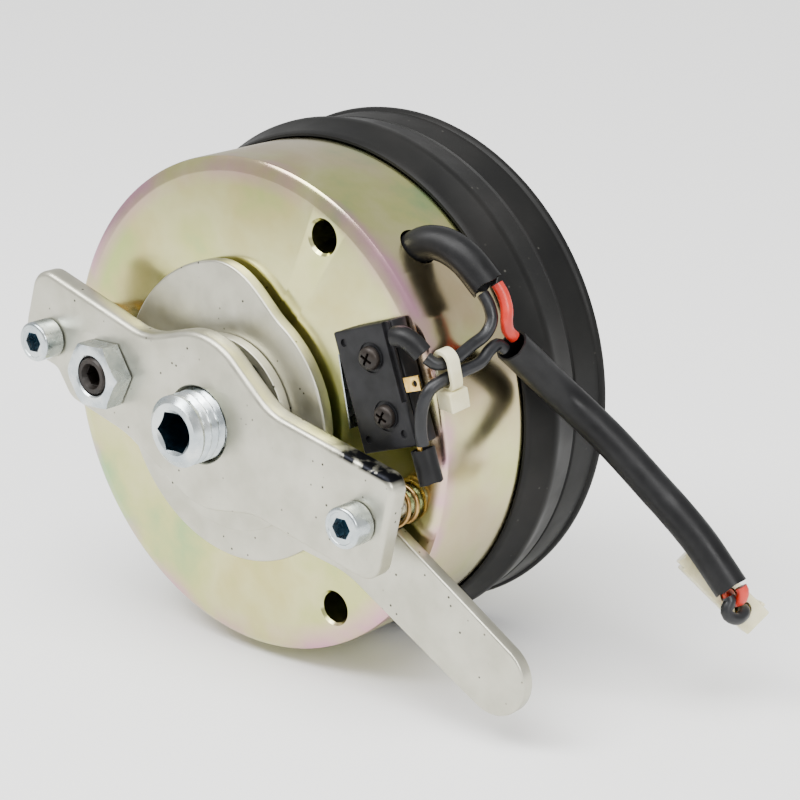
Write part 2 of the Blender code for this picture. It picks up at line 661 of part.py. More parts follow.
def frame_along(name, at, across, along):
    """An empty with its X across and its Z along the given directions."""
    z_axis = Vector(along).normalized()
    x_axis = Vector(across)
    x_axis = (x_axis - z_axis * x_axis.dot(z_axis)).normalized()
    y_axis = z_axis.cross(x_axis)
    frame = bpy.data.objects.new(name, None)
    frame.empty_display_size = 0.005
    PARTS.objects.link(frame)
    turn = Matrix((x_axis, y_axis, z_axis)).transposed().to_4x4()
    frame.matrix_world = Matrix.Translation(Vector(at) * MM) @ turn
    return frame


def build_tie():
    """Cable tie: a flat band round two wires, and its head."""
    frame = frame_along("tie_frame", TIE_AT, (0.0, 0.0, 1.0), TIE_ALONG)
    outer = rounded(((-4.3, -2.7, 2.5), (4.3, -2.7, 2.5), (4.3, 2.7, 2.5), (-4.3, 2.7, 2.5)), 22.5)
    inner = rounded(((-3.4, -1.8, 1.7), (3.4, -1.8, 1.7), (3.4, 1.8, 1.7), (-3.4, 1.8, 1.7)), 22.5)
    band = flat_piece("wire_tie", outer, (-1.25, 1.25), "nylon", frame)
    cut(band, box("add_tie_head", ((-8.0, -3.8), (-2.2, 2.4), (-2.2, 2.2)), None, frame), "UNION")
    cut(band, flat_piece("cut_tie", inner, (-3.0, 3.0), None, frame))
    shade(band)


def build_connector():
    """Two-way plug housing with a wire hole and a mating way for each lead."""
    wire_side = Vector(CONNECTOR_LONG).cross(Vector(CONNECTOR_SHORT))
    frame = frame_along("connector_frame", CONNECTOR_AT, CONNECTOR_LONG, wire_side)
    spans = CONNECTOR_BOX
    housing = box("connector_housing", spans, "nylon", frame)
    tab = ((-10.2, -8.0), (-3.4, 1.6), (spans[2][0] + 4.0, spans[2][1]))
    cut(housing, box("add_tab", tab, None, frame), "UNION")
    for colour, across in CONNECTOR_WAYS.items():
        cut(housing, cylinder(f"cut_wire_{colour}", WIRE_R + 0.45, (-8.7, -4.0),
                              (across, -CONNECTOR_WAY_Y), None, frame, 12))
        way = ((across - 1.7, across + 1.7), (CONNECTOR_WAY_Y - 1.7, CONNECTOR_WAY_Y + 1.7),
               (spans[2][0] - 1, spans[2][0] + 4.0))
        cut(housing, box(f"cut_way_{colour}", way, None, frame))
        blade = ((across - 1.1, across + 1.1), (CONNECTOR_WAY_Y - 1.1, CONNECTOR_WAY_Y + 1.1),
                 (spans[2][0] + 0.6, spans[2][0] + 3.7))
        box(f"connector_terminal_{colour}", blade, "brass", frame)
    shade(housing)


AXIS = new_frame("magnet_axis")
build_magnet(AXIS)
build_friction_side(AXIS, new_frame("hub_axis"))
build_lever(new_frame("lever_axis"))
build_yoke(new_frame("yoke_axis"))
build_switch(AXIS)
build_leads()
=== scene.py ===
"""Looks of a spring-applied electromagnetic clutch with hand release and microswitch.

Every place is in the part's own frame, in metres: +Y along the shaft out of the mounting
face, +Z up, with the lever side towards -Y. Sizes in the classes are in millimetres.
"""

from __future__ import annotations

import logging
import math
import random
from dataclasses import dataclass, field
from enum import Enum
from typing import Sequence

import bpy
from mathutils import Matrix, Vector

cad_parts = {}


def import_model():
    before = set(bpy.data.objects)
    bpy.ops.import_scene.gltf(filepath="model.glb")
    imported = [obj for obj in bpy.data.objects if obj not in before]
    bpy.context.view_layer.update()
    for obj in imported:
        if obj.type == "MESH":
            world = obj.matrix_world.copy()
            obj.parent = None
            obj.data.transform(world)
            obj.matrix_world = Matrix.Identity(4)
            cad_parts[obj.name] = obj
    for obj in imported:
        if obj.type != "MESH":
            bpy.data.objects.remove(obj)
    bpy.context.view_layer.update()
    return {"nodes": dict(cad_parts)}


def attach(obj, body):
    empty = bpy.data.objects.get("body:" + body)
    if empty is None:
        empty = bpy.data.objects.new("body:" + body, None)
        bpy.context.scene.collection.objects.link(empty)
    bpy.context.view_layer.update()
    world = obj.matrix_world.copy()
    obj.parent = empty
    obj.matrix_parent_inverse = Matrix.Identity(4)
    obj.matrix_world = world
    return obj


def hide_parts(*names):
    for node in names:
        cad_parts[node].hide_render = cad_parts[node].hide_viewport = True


LOG = logging.getLogger("clutch")
MM = 0.001
Place = tuple[float, float]
Point = tuple[float, float, float]
SMOOTH_ANGLE = math.radians(32.0)
QUARTER = math.pi / 2
OFF_SEAM = 0.03  # turns round cutters so that their corners miss those of the turned pieces
BOLT_ANGLES, BOLT_CIRCLE, BOLT_HOLE = (60.0, -60.0, 180.0), 45.0, 3.3
RELEASE_ANGLES, RELEASE_CIRCLE = {"left": 165.0, "right": -15.0}, 44.5
BALL_ANGLES, BALL_CIRCLE = (90.0, 210.0, 330.0), 13.0
BALL_Y = -58.3
REAR_FACE = -50.0
CENTRE_BORE = 7.8
LEVER_TRAVEL, LEVER_LIFT = 70.0, 0.5
MERGE = 0.000001
ON_END = 0.00002  # vertices nearer than this to a tube's end plane belong to its end


# --- bench: small modelling steps ---------------------------------------------------------

def deselect() -> None:
    """Leave edit mode and deselect everything."""
    if bpy.context.object and bpy.context.object.mode != "OBJECT":
        bpy.ops.object.mode_set(mode="OBJECT")
    bpy.ops.object.select_all(action="DESELECT")


def activate(obj: bpy.types.Object) -> bpy.types.Object:
    """Select one object alone and make it active.

    Args:
        obj: The object to work on.

    Returns:
        The same object.
    """
    deselect()
    obj.select_set(True)
    bpy.context.view_layer.objects.active = obj
    return obj


def settle(obj: bpy.types.Object, name: str) -> bpy.types.Object:
    """Apply an object's place and size to its mesh, and name it.

    Args:
        obj: The object.
        name: Its new name, which its mesh takes too.

    Returns:
        The same object.
    """
    activate(obj)
    bpy.ops.object.transform_apply(location=True, rotation=True, scale=True)
    obj.name = name
    obj.data.name = name
    return obj


def apply_modifier(obj: bpy.types.Object, kind: str, **settings: object) -> None:
    """Add one modifier, set it and apply it.

    Args:
        obj: The object it works on.
        kind: The modifier's type.
        settings: Its values by name.
    """
    activate(obj)
    modifier = obj.modifiers.new(kind.lower(), kind)
    for key, value in settings.items():
        setattr(modifier, key, value)
    bpy.ops.object.modifier_apply(modifier=modifier.name)


def carve(obj: bpy.types.Object, cutter: bpy.types.Object, operation: str = "DIFFERENCE") -> None:
    """Cut, join or intersect with a second solid, which is then removed.

    Args:
        obj: The solid that stays.
        cutter: The solid that is used up.
        operation: DIFFERENCE, UNION or INTERSECT.
    """
    apply_modifier(obj, "BOOLEAN", operation=operation, object=cutter, solver="EXACT")
    bpy.data.objects.remove(cutter, do_unlink=True)


def close_up(obj: bpy.types.Object, distance: float = MERGE) -> bpy.types.Object:
    """Merge doubled vertices and turn the faces outward.

    Args:
        obj: The piece.
        distance: Vertices nearer than this are merged, metres.

    Returns:
        The same piece.
    """
    activate(obj)
    bpy.ops.object.mode_set(mode="EDIT")
    bpy.ops.mesh.select_all(action="SELECT")
    bpy.ops.mesh.remove_doubles(threshold=distance)
    bpy.ops.mesh.normals_make_consistent(inside=False)
    bpy.ops.object.mode_set(mode="OBJECT")
    return obj


def smooth(obj: bpy.types.Object) -> bpy.types.Object:
    """Shade a piece smooth except at its sharp edges.

    Args:
        obj: The piece.

    Returns:
        The same piece.
    """
    activate(obj)
    bpy.ops.object.shade_smooth_by_angle(angle=SMOOTH_ANGLE)
    return obj


def bevel(obj: bpy.types.Object, width: float, segments: int = 3, angle: float = 40.0) -> None:
    """Round the sharp edges of a solid.

    Args:
        obj: The solid.
        width: The rounding in millimetres.
        segments: Faces across the rounding.
        angle: The least angle in degrees that counts as sharp.
    """
    apply_modifier(obj, "BEVEL", width=width * MM, segments=segments, limit_method="ANGLE",
                   angle_limit=math.radians(angle), use_clamp_overlap=True)


def select_first(obj: bpy.types.Object, count: int) -> None:
    """Select a turned piece's first ring, and nothing else, in edit mode.

    Args:
        obj: The active piece.
        count: How many vertices the ring has.
    """
    bpy.ops.object.mode_set(mode="OBJECT")
    for vertex in obj.data.vertices:
        vertex.select = vertex.index < count
    for edge in obj.data.edges:
        edge.select = all(index < count for index in edge.vertices)
    for face in obj.data.polygons:
        face.select = False
    bpy.ops.object.mode_set(mode="EDIT")


def turned(name: str, profile: Sequence[Place], sides: int = 128, at: Place = (0.0, 0.0),
           hollow: bool = True) -> bpy.types.Object:
    """A turned piece about an axis along Y, drawn out ring by ring from a circle.

    Args:
        name: The piece's name.
        profile: (radius, y) pairs in millimetres, round a hollow piece's section or down the
            outer side of a solid one.
        sides: Faces round the piece.
        at: The axis's (x, z) in millimetres.
        hollow: Whether the profile closes on itself; else both ends get a flat cap.

    Returns:
        The piece.
    """
    deselect()
    radius, station = profile[0]
    bpy.ops.mesh.primitive_circle_add(vertices=sides, radius=radius * MM, rotation=(QUARTER, 0, 0),
                                      location=(at[0] * MM, station * MM, at[1] * MM))
    obj = settle(bpy.context.object, name)
    bpy.ops.object.mode_set(mode="EDIT")
    bpy.ops.mesh.select_mode(type="VERT")
    bpy.ops.mesh.select_all(action="SELECT")
    steps = list(profile[1:]) + ([profile[0]] if hollow else [])
    for new_radius, new_station in steps:
        shift = (0.0, (new_station - station) * MM, 0.0)
        bpy.ops.mesh.extrude_edges_move(TRANSFORM_OT_translate={"value": shift})
        ratio = new_radius / radius
        bpy.ops.transform.resize(value=(ratio, 1.0, ratio),
                                 center_override=(at[0] * MM, new_station * MM, at[1] * MM))
        radius, station = new_radius, new_station
    if not hollow:
        bpy.ops.mesh.edge_face_add()
        select_first(obj, sides)
        bpy.ops.mesh.edge_face_add()
    return close_up(obj)


def rod(name: str, radius: float, stations: Place, at: Place = (0.0, 0.0), sides: int = 48,
        tip: float | None = None) -> bpy.types.Object:
    """A cylinder, prism or cone along Y.

    Args:
        name: The piece's name.
        radius: Its radius at the rear end, mm.
        stations: Its y values, rear and front, mm.
        at: The axis's (x, z), mm.
        sides: Faces round it.
        tip: Its radius at the front end, if that differs, mm.

    Returns:
        The piece.
    """
    deselect()
    rear, front = stations
    bpy.ops.mesh.primitive_cone_add(
        vertices=sides, radius1=(radius if tip is None else tip) * MM, radius2=radius * MM,
        depth=(front - rear) * MM, rotation=(QUARTER, OFF_SEAM if sides > 12 else 0.0, 0),
        location=(at[0] * MM, (rear + front) / 2 * MM, at[1] * MM))
    return settle(bpy.context.object, name)


def block(name: str, spans: Sequence[Place], place: Matrix = Matrix.Identity(4),
          rounding: float = 0.0) -> bpy.types.Object:
    """A box between low and high values along the axes of a local frame.

    Args:
        name: The piece's name.
        spans: (low, high) along the frame's X, Y and Z, mm.
        place: The frame, in metres.
        rounding: Edge rounding, mm.

    Returns:
        The piece.
    """
    deselect()
    middle = [(low + high) / 2 * MM for low, high in spans]
    bpy.ops.mesh.primitive_cube_add(size=1.0, location=middle)
    obj = bpy.context.object
    obj.scale = [(high - low) * MM for low, high in spans]
    settle(obj, name)
    if rounding:
        bevel(obj, rounding)
    obj.matrix_world = place
    return settle(obj, name)


def rounded(corners: Sequence[Point], step: float = 5.0) -> list[Vector]:
    """Replace the corners of an outline by arcs.

    Args:
        corners: (x, z, radius) of each corner, mm.
        step: Degrees between points on an arc.

    Returns:
        The outline's points.
    """
    points = []
    for index, (x, z, radius) in enumerate(corners):
        corner = Vector((x, z))
        if radius == 0.0:
            points.append(corner)
            continue
        before = (Vector(corners[index - 1][:2]) - corner).normalized()
        after = (Vector(corners[(index + 1) % len(corners)][:2]) - corner).normalized()
        half = math.acos(max(-1.0, min(1.0, before.dot(after)))) / 2
        centre = corner + (before + after).normalized() * (radius / math.sin(half))
        start = corner + before * (radius / math.tan(half)) - centre
        end = corner + after * (radius / math.tan(half)) - centre
        sweep = math.copysign(math.pi - 2 * half, start.x * end.y - start.y * end.x)
        pieces = max(3, round(abs(math.degrees(sweep)) / step))
        for piece in range(pieces + 1):
            points.append(centre + Matrix.Rotation(sweep * piece / pieces, 2) @ start)
    return points


def plate(name: str, outline: Sequence[Sequence[float]], stations: Place, rim: float,
          place: Matrix | None = None) -> bpy.types.Object:
    """A flat piece with rounded rims, from an outline on the rear face.

    Args:
        name: The piece's name.
        outline: (x, z) points, mm.
        stations: Its y values, rear and front, mm.
        rim: The rounding of its rims, mm.
        place: A frame whose Z the plate is extruded along, in place of the shaft's.

    Returns:
        The piece.
    """
    low, high = stations
    curve = bpy.data.curves.new(name, "CURVE")
    curve.dimensions = "2D"
    curve.fill_mode = "BOTH"
    curve.extrude = ((high - low) / 2 - rim) * MM
    curve.bevel_depth = rim * MM
    curve.bevel_resolution = 3
    curve.offset = -rim * MM
    spline = curve.splines.new("POLY")
    spline.points.add(len(outline) - 1)
    for spline_point, (x, z) in zip(spline.points, outline):
        spline_point.co = (x * MM, -z * MM, 0.0, 1.0)
    spline.use_cyclic_u = True
    obj = bpy.data.objects.new(name, curve)
    bpy.context.scene.collection.objects.link(obj)
    activate(obj)
    bpy.ops.object.convert(target="MESH")
    obj = bpy.context.object
    along_shaft = Matrix.Rotation(-QUARTER, 4, "X")
    lift = Matrix.Translation((0.0, 0.0, (low + high) / 2 * MM))
    obj.matrix_world = (along_shaft if place is None else place) @ lift
    return close_up(settle(obj, name), 2 * MERGE)


def drill(obj: bpy.types.Object, radius: float, stations: Place, at: Place = (0.0, 0.0),
          chamfer: float = 0.0, sides: int = 48) -> None:
    """Cut a hole along Y, with a chamfer at its rear mouth.

    Args:
        obj: The solid that is cut.
        radius: The hole's radius, mm.
        stations: y values of its rear mouth and its floor, mm.
        at: Its (x, z), mm.
        chamfer: The chamfer's width, mm.
        sides: Faces round the hole.
    """
    rear, front = stations
    carve(obj, rod("drill", radius, (rear - 2.0, front), at, sides))
    if chamfer:
        carve(obj, rod("sink", radius + chamfer * 1.5, (rear - chamfer * 0.5, rear + chamfer), at,
                       sides, tip=radius))


def smooth_route(points: Sequence[Point], spacing: float) -> list[Vector]:
    """Evenly spaced points on the Catmull-Rom curve through a route, in metres.

    Args:
        points: The route's points, mm.
        spacing: The distance between the new points, mm.

    Returns:
        The points.
    """
    knots = [Vector(point) for point in points]
    knots = [2 * knots[0] - knots[1]] + knots + [2 * knots[-1] - knots[-2]]
    fine = []
    for p0, p1, p2, p3 in zip(knots, knots[1:], knots[2:], knots[3:]):
        for part in range(20):
            t = part / 20
            fine.append(0.5 * (2 * p1 + (p2 - p0) * t + (2 * p0 - 5 * p1 + 4 * p2 - p3) * t * t
                               + (3 * p1 - p0 - 3 * p2 + p3) * t ** 3))
    fine.append(knots[-2])
    lengths = [0.0]
    for first, second in zip(fine, fine[1:]):
        lengths.append(lengths[-1] + (second - first).length)
    pieces = max(3, round(lengths[-1] / spacing))
    chosen = []
    for piece in range(pieces + 1):
        target = lengths[-1] * piece / pieces
        index = min(range(len(fine)), key=lambda i: abs(lengths[i] - target))
        chosen.append(fine[index] * MM)
    return chosen


def strand(name: str, points: Sequence[Vector], radius: float, capped: bool = True
           ) -> bpy.types.Object:
    """A round wire or tube along points.

    Args:
        name: The piece's name.
        points: The line it follows, metres.
        radius: Its radius, mm.
        capped: Whether its ends are closed.

    Returns:
        The piece.
    """
    curve = bpy.data.curves.new(name, "CURVE")
    curve.dimensions = "3D"
    curve.bevel_depth = radius * MM
    curve.bevel_resolution = 6
    curve.use_fill_caps = capped
    spline = curve.splines.new("POLY")
    spline.points.add(len(points) - 1)
    for spline_point, point in zip(spline.points, points):
        spline_point.co = (*point, 1.0)
    spline.use_smooth = True
    obj = bpy.data.objects.new(name, curve)
    bpy.context.scene.collection.objects.link(obj)
    activate(obj)
    bpy.ops.object.convert(target="MESH")
    return smooth(close_up(bpy.context.object))


def helix(radius: float, stations: Place, turns: float, at: Place) -> list[Vector]:
    """Points of a coil spring's centreline, its end turns closed up.

    Args:
        radius: The coil's mean radius, mm.
        stations: y values of its two ends, mm.
        turns: How many turns it has.
        at: Its axis's (x, z), mm.

    Returns:
        The points, metres.
    """
    per_turn = 24
    count = round(turns * per_turn)
    points = []
    for index in range(count + 1):
        share = index / count
        eased = share - 0.09 * math.sin(2 * math.pi * share)
        angle = 2 * math.pi * index / per_turn
        points.append(Vector((at[0] + radius * math.cos(angle),
                              stations[0] + (stations[1] - stations[0]) * eased,
                              at[1] + radius * math.sin(angle))) * MM)
    return points


def polar(radius: float, degrees: float) -> Place:
    """The (x, z) at that radius and angle on the rear face."""
    return (radius * math.cos(math.radians(degrees)), radius * math.sin(math.radians(degrees)))


def hexagon(name: str, across: float, stations: Place, at: Place = (0.0, 0.0)
            ) -> bpy.types.Object:
    """A hexagonal prism along Y with a corner on each side.

    Args:
        name: The piece's name.
        across: Its size across flats, mm.
        stations: Its y values, rear and front, mm.
        at: Its axis's (x, z), mm.

    Returns:
        The prism.
    """
    prism = rod(name, across / 2 / math.cos(math.pi / 6), stations, (0.0, 0.0), sides=6)
    prism.rotation_euler = (0.0, math.radians(30.0), 0.0)
    prism.location = (at[0] * MM, 0.0, at[1] * MM)
    return settle(prism, name)


def frame_along(at: Point, across: Point, along: Point) -> Matrix:
    """A frame at a place, turned to two directions.

    Args:
        at: Its origin, mm.
        across: Its X, before that is squared up to its Z.
        along: Its Z.

    Returns:
        The frame.
    """
    z_axis = Vector(along).normalized()
    x_axis = Vector(across)
    x_axis = (x_axis - z_axis * x_axis.dot(z_axis)).normalized()
    turn = Matrix((x_axis, z_axis.cross(x_axis), z_axis)).transposed().to_4x4()
    return Matrix.Translation(Vector(at) * MM) @ turn


# --- finishes -----------------------------------------------------------------------------

def linear(code: str) -> tuple[float, float, float, float]:
    """Turn an sRGB colour linear.

    Args:
        code: The colour, as hex.

    Returns:
        Linear RGBA.
    """
    channels = [int(code[index:index + 2], 16) / 255 for index in (1, 3, 5)]
    turned_channels = [value / 12.92 if value <= 0.04045 else ((value + 0.055) / 1.055) ** 2.4
                       for value in channels]
    return (*turned_channels, 1.0)


def add(tree: bpy.types.NodeTree, kind: str, inputs: dict[str | int, object] | None = None,
        **settings: object) -> bpy.types.Node:
    """Add one node.

    Args:
        tree: The material's nodes.
        kind: The node's type.
        inputs: Values or output sockets for its inputs.
        settings: Its own properties.

    Returns:
        The node.
    """
    new = tree.nodes.new(kind)
    for key, value in settings.items():
        setattr(new, key, value)
    for key, value in (inputs or {}).items():
        if isinstance(value, bpy.types.NodeSocket):
            tree.links.new(value, new.inputs[key])
        else:
            new.inputs[key].default_value = value
    return new


def stained(tree: bpy.types.NodeTree, base: bpy.types.NodeSocket, code: str,
            *factors: bpy.types.NodeSocket) -> bpy.types.NodeSocket:
    """Mix a second colour in where every factor is high.

    Args:
        tree: The material's nodes.
        base: The colour underneath.
        code: The second colour, as hex.
        factors: Outputs between 0 and 1 that are multiplied.

    Returns:
        The colour output.
    """
    amount = factors[0]
    for factor in factors[1:]:
        amount = add(tree, "ShaderNodeMath", {0: amount, 1: factor},
                     operation="MULTIPLY").outputs[0]
    return add(tree, "ShaderNodeMix", {0: amount, 6: base, 7: linear(code)},
               data_type="RGBA").outputs[2]


def per_metre(size_mm: float) -> float:
    """A texture scale whose features are about that many millimetres across."""
    return 1000.0 / size_mm


@dataclass(frozen=True)
class Grain:
    """One layer of relief: its grain size, height and share, in mm and 0 to 1."""

    size: float
    height: float
    share: float = 1.0
    detail: float = 4.0


@dataclass(frozen=True)
class Finish:
    """A surface finish with a tone that varies, grain, specks and a roughness range."""

    name: str
    slot: str
    stops: tuple[tuple[float, str], ...]
    patch: float
    metallic: float = 0.0
    roughness: Place = (0.4, 0.5)
    grains: tuple[Grain, ...] = ()
    specks: tuple[float, float, str] | None = None
    subsurface: float = 0.0
    squash: Point = (1.0, 1.0, 1.0)
    specular: float = 0.5

    def tone(self, tree: bpy.types.NodeTree, where: bpy.types.NodeSocket
             ) -> bpy.types.NodeSocket:
        """The colour over the surface.

        Args:
            tree: The material's nodes.
            where: The coordinates it reads.

        Returns:
            A colour output.
        """
        noise = add(tree, "ShaderNodeTexNoise", {"Vector": where, "Scale": per_metre(self.patch),
                                                 "Detail": 5.0, "Roughness": 0.55})
        tones = add(tree, "ShaderNodeValToRGB", {"Fac": noise.outputs["Fac"]})
        elements = tones.color_ramp.elements
        while len(elements) < len(self.stops):
            elements.new(0.5)
        for element, (position, code) in zip(elements, self.stops):
            element.position = position
            element.color = linear(code)
        colour = tones.outputs["Color"]
        if self.specks is None:
            return colour
        size, amount, code = self.specks
        spots = add(tree, "ShaderNodeTexVoronoi", {"Vector": where, "Scale": per_metre(size * 9)},
                    feature="F1")
        mask = add(tree, "ShaderNodeMapRange", {"Value": spots.outputs["Distance"],
                                                "From Min": 0.06, "From Max": 0.12,
                                                "To Min": 1.0, "To Max": 0.0})
        where_some = add(tree, "ShaderNodeTexNoise", {"Vector": where,
                                                      "Scale": per_metre(size * 30)})
        some = add(tree, "ShaderNodeMapRange", {"Value": where_some.outputs["Fac"],
                                                "From Min": 0.62 - amount * 0.2,
                                                "From Max": 0.66 - amount * 0.2})
        return stained(tree, colour, code, mask.outputs["Result"], some.outputs["Result"])

    def relief(self, tree: bpy.types.NodeTree, where: bpy.types.NodeSocket
               ) -> bpy.types.NodeSocket | None:
        """Bump from the grain layers.

        Args:
            tree: The material's nodes.
            where: The coordinates it reads.

        Returns:
            A normal output, or None where the surface is smooth.
        """
        normal = None
        for grain in self.grains:
            noise = add(tree, "ShaderNodeTexNoise", {"Vector": where, "Detail": grain.detail,
                                                     "Scale": per_metre(grain.size)})
            bump = add(tree, "ShaderNodeBump", {"Height": noise.outputs["Fac"],
                                                "Strength": grain.share,
                                                "Distance": grain.height * MM})
            if normal is not None:
                tree.links.new(normal, bump.inputs["Normal"])
            normal = bump.outputs["Normal"]
        return normal

    def material(self) -> bpy.types.Material:
        """Make the finish's material, once.

        Returns:
            The material.
        """
        if self.name in bpy.data.materials:
            return bpy.data.materials[self.name]
        material = bpy.data.materials.new(self.name)
        material.use_nodes = True
        tree = material.node_tree
        shader = tree.nodes["Principled BSDF"]
        coordinates = add(tree, "ShaderNodeTexCoord")
        mapping = add(tree, "ShaderNodeMapping", {"Vector": coordinates.outputs["Object"],
                                                  "Scale": self.squash})
        where = mapping.outputs["Vector"]
        tree.links.new(self.tone(tree, where), shader.inputs["Base Color"])
        rough = add(tree, "ShaderNodeTexNoise", {"Vector": where, "Detail": 3.0,
                                                 "Scale": per_metre(self.patch * 0.45)})
        spread = add(tree, "ShaderNodeMapRange", {"Value": rough.outputs["Fac"],
                                                  "From Min": 0.35, "From Max": 0.65,
                                                  "To Min": self.roughness[0],
                                                  "To Max": self.roughness[1]})
        tree.links.new(spread.outputs["Result"], shader.inputs["Roughness"])
        normal = self.relief(tree, where)
        if normal is not None:
            tree.links.new(normal, shader.inputs["Normal"])
        shader.inputs["Metallic"].default_value = self.metallic
        shader.inputs["Specular IOR Level"].default_value = self.specular
        shader.inputs["Subsurface Weight"].default_value = self.subsurface
        shader.inputs["Subsurface Radius"].default_value = (1.0, 0.9, 0.7)
        shader.inputs["Subsurface Scale"].default_value = 0.002
        return material


@dataclass(frozen=True)
class PassivatedZinc(Finish):
    """Yellow chromate on turned steel: straw yellow that drifts to pink and green at the rims."""

    rim: Place = (46.5, 52.0)
    depth: Place = (45.5, 48.5)
    rim_colour: str = "#C98BAE"

    def tone(self, tree: bpy.types.NodeTree, where: bpy.types.NodeSocket
             ) -> bpy.types.NodeSocket:
        """Straw yellow in drifting patches, with pink towards the outer rim.

        Args:
            tree: The material's nodes.
            where: The coordinates it reads.

        Returns:
            A colour output.
        """
        base = super().tone(tree, where)
        flat = add(tree, "ShaderNodeVectorMath", {0: where, 1: (1.0, 0.0, 1.0)},
                   operation="MULTIPLY")
        radius = add(tree, "ShaderNodeVectorMath", {0: flat.outputs["Vector"]},
                     operation="LENGTH")
        near = add(tree, "ShaderNodeMapRange", {"Value": radius.outputs["Value"],
                                                "From Min": self.rim[0] * MM,
                                                "From Max": self.rim[1] * MM})
        drift = add(tree, "ShaderNodeTexNoise", {"Vector": where, "Scale": per_metre(26.0),
                                                 "Detail": 4.0})
        patches = add(tree, "ShaderNodeMapRange", {"Value": drift.outputs["Fac"],
                                                   "From Min": 0.42, "From Max": 0.56,
                                                   "To Max": 0.8})
        depth = add(tree, "ShaderNodeVectorMath", {0: where, 1: (0.0, -1.0, 0.0)},
                    operation="DOT_PRODUCT")
        rear = add(tree, "ShaderNodeMapRange", {"Value": depth.outputs["Value"],
                                                "From Min": self.depth[0] * MM,
                                                "From Max": self.depth[1] * MM,
                                                "To Min": 0.25})
        return stained(tree, base, self.rim_colour, near.outputs["Result"],
                       patches.outputs["Result"], rear.outputs["Result"])


@dataclass(frozen=True)
class WornZinc(Finish):
    """White zinc with a dark, torn patch along one edge of the plate."""

    across: Point = (0.239, 0.0, 0.971)
    edge: Place = (9.3, 10.0)
    starts: Place = (33.0, 39.0)
    stain: str = "#15161A"

    def tone(self, tree: bpy.types.NodeTree, where: bpy.types.NodeSocket
             ) -> bpy.types.NodeSocket:
        """White zinc, darkened past the edge line and the start of the patch.

        Args:
            tree: The material's nodes.
            where: The coordinates it reads.

        Returns:
            A colour output.
        """
        base = super().tone(tree, where)
        noise = add(tree, "ShaderNodeTexNoise", {"Vector": where, "Scale": per_metre(3.5),
                                                 "Detail": 5.0})
        torn = add(tree, "ShaderNodeMapRange", {"Value": noise.outputs["Fac"],
                                                "From Min": 0.36, "From Max": 0.50})
        factors = [torn.outputs["Result"]]
        for direction, span in ((self.across, self.edge), ((1.0, 0.0, 0.0), self.starts)):
            along = add(tree, "ShaderNodeVectorMath", {0: where, 1: direction},
                        operation="DOT_PRODUCT")
            inside = add(tree, "ShaderNodeMapRange", {"Value": along.outputs["Value"],
                                                      "From Min": span[0] * MM,
                                                      "From Max": span[1] * MM})
            factors.append(inside.outputs["Result"])
        return stained(tree, base, self.stain, *factors)


BLASTED = {"slot": "white_zinc", "patch": 9.0, "metallic": 0.95, "roughness": (0.32, 0.44),
           "stops": ((0.35, "#B1AF9F"), (0.5, "#BAB8A8"), (0.65, "#C1BFB0")),
           "grains": (Grain(0.35, 0.014, 0.6), Grain(2.5, 0.03, 0.3)),
           "specks": (0.3, 0.9, "#3A3830")}


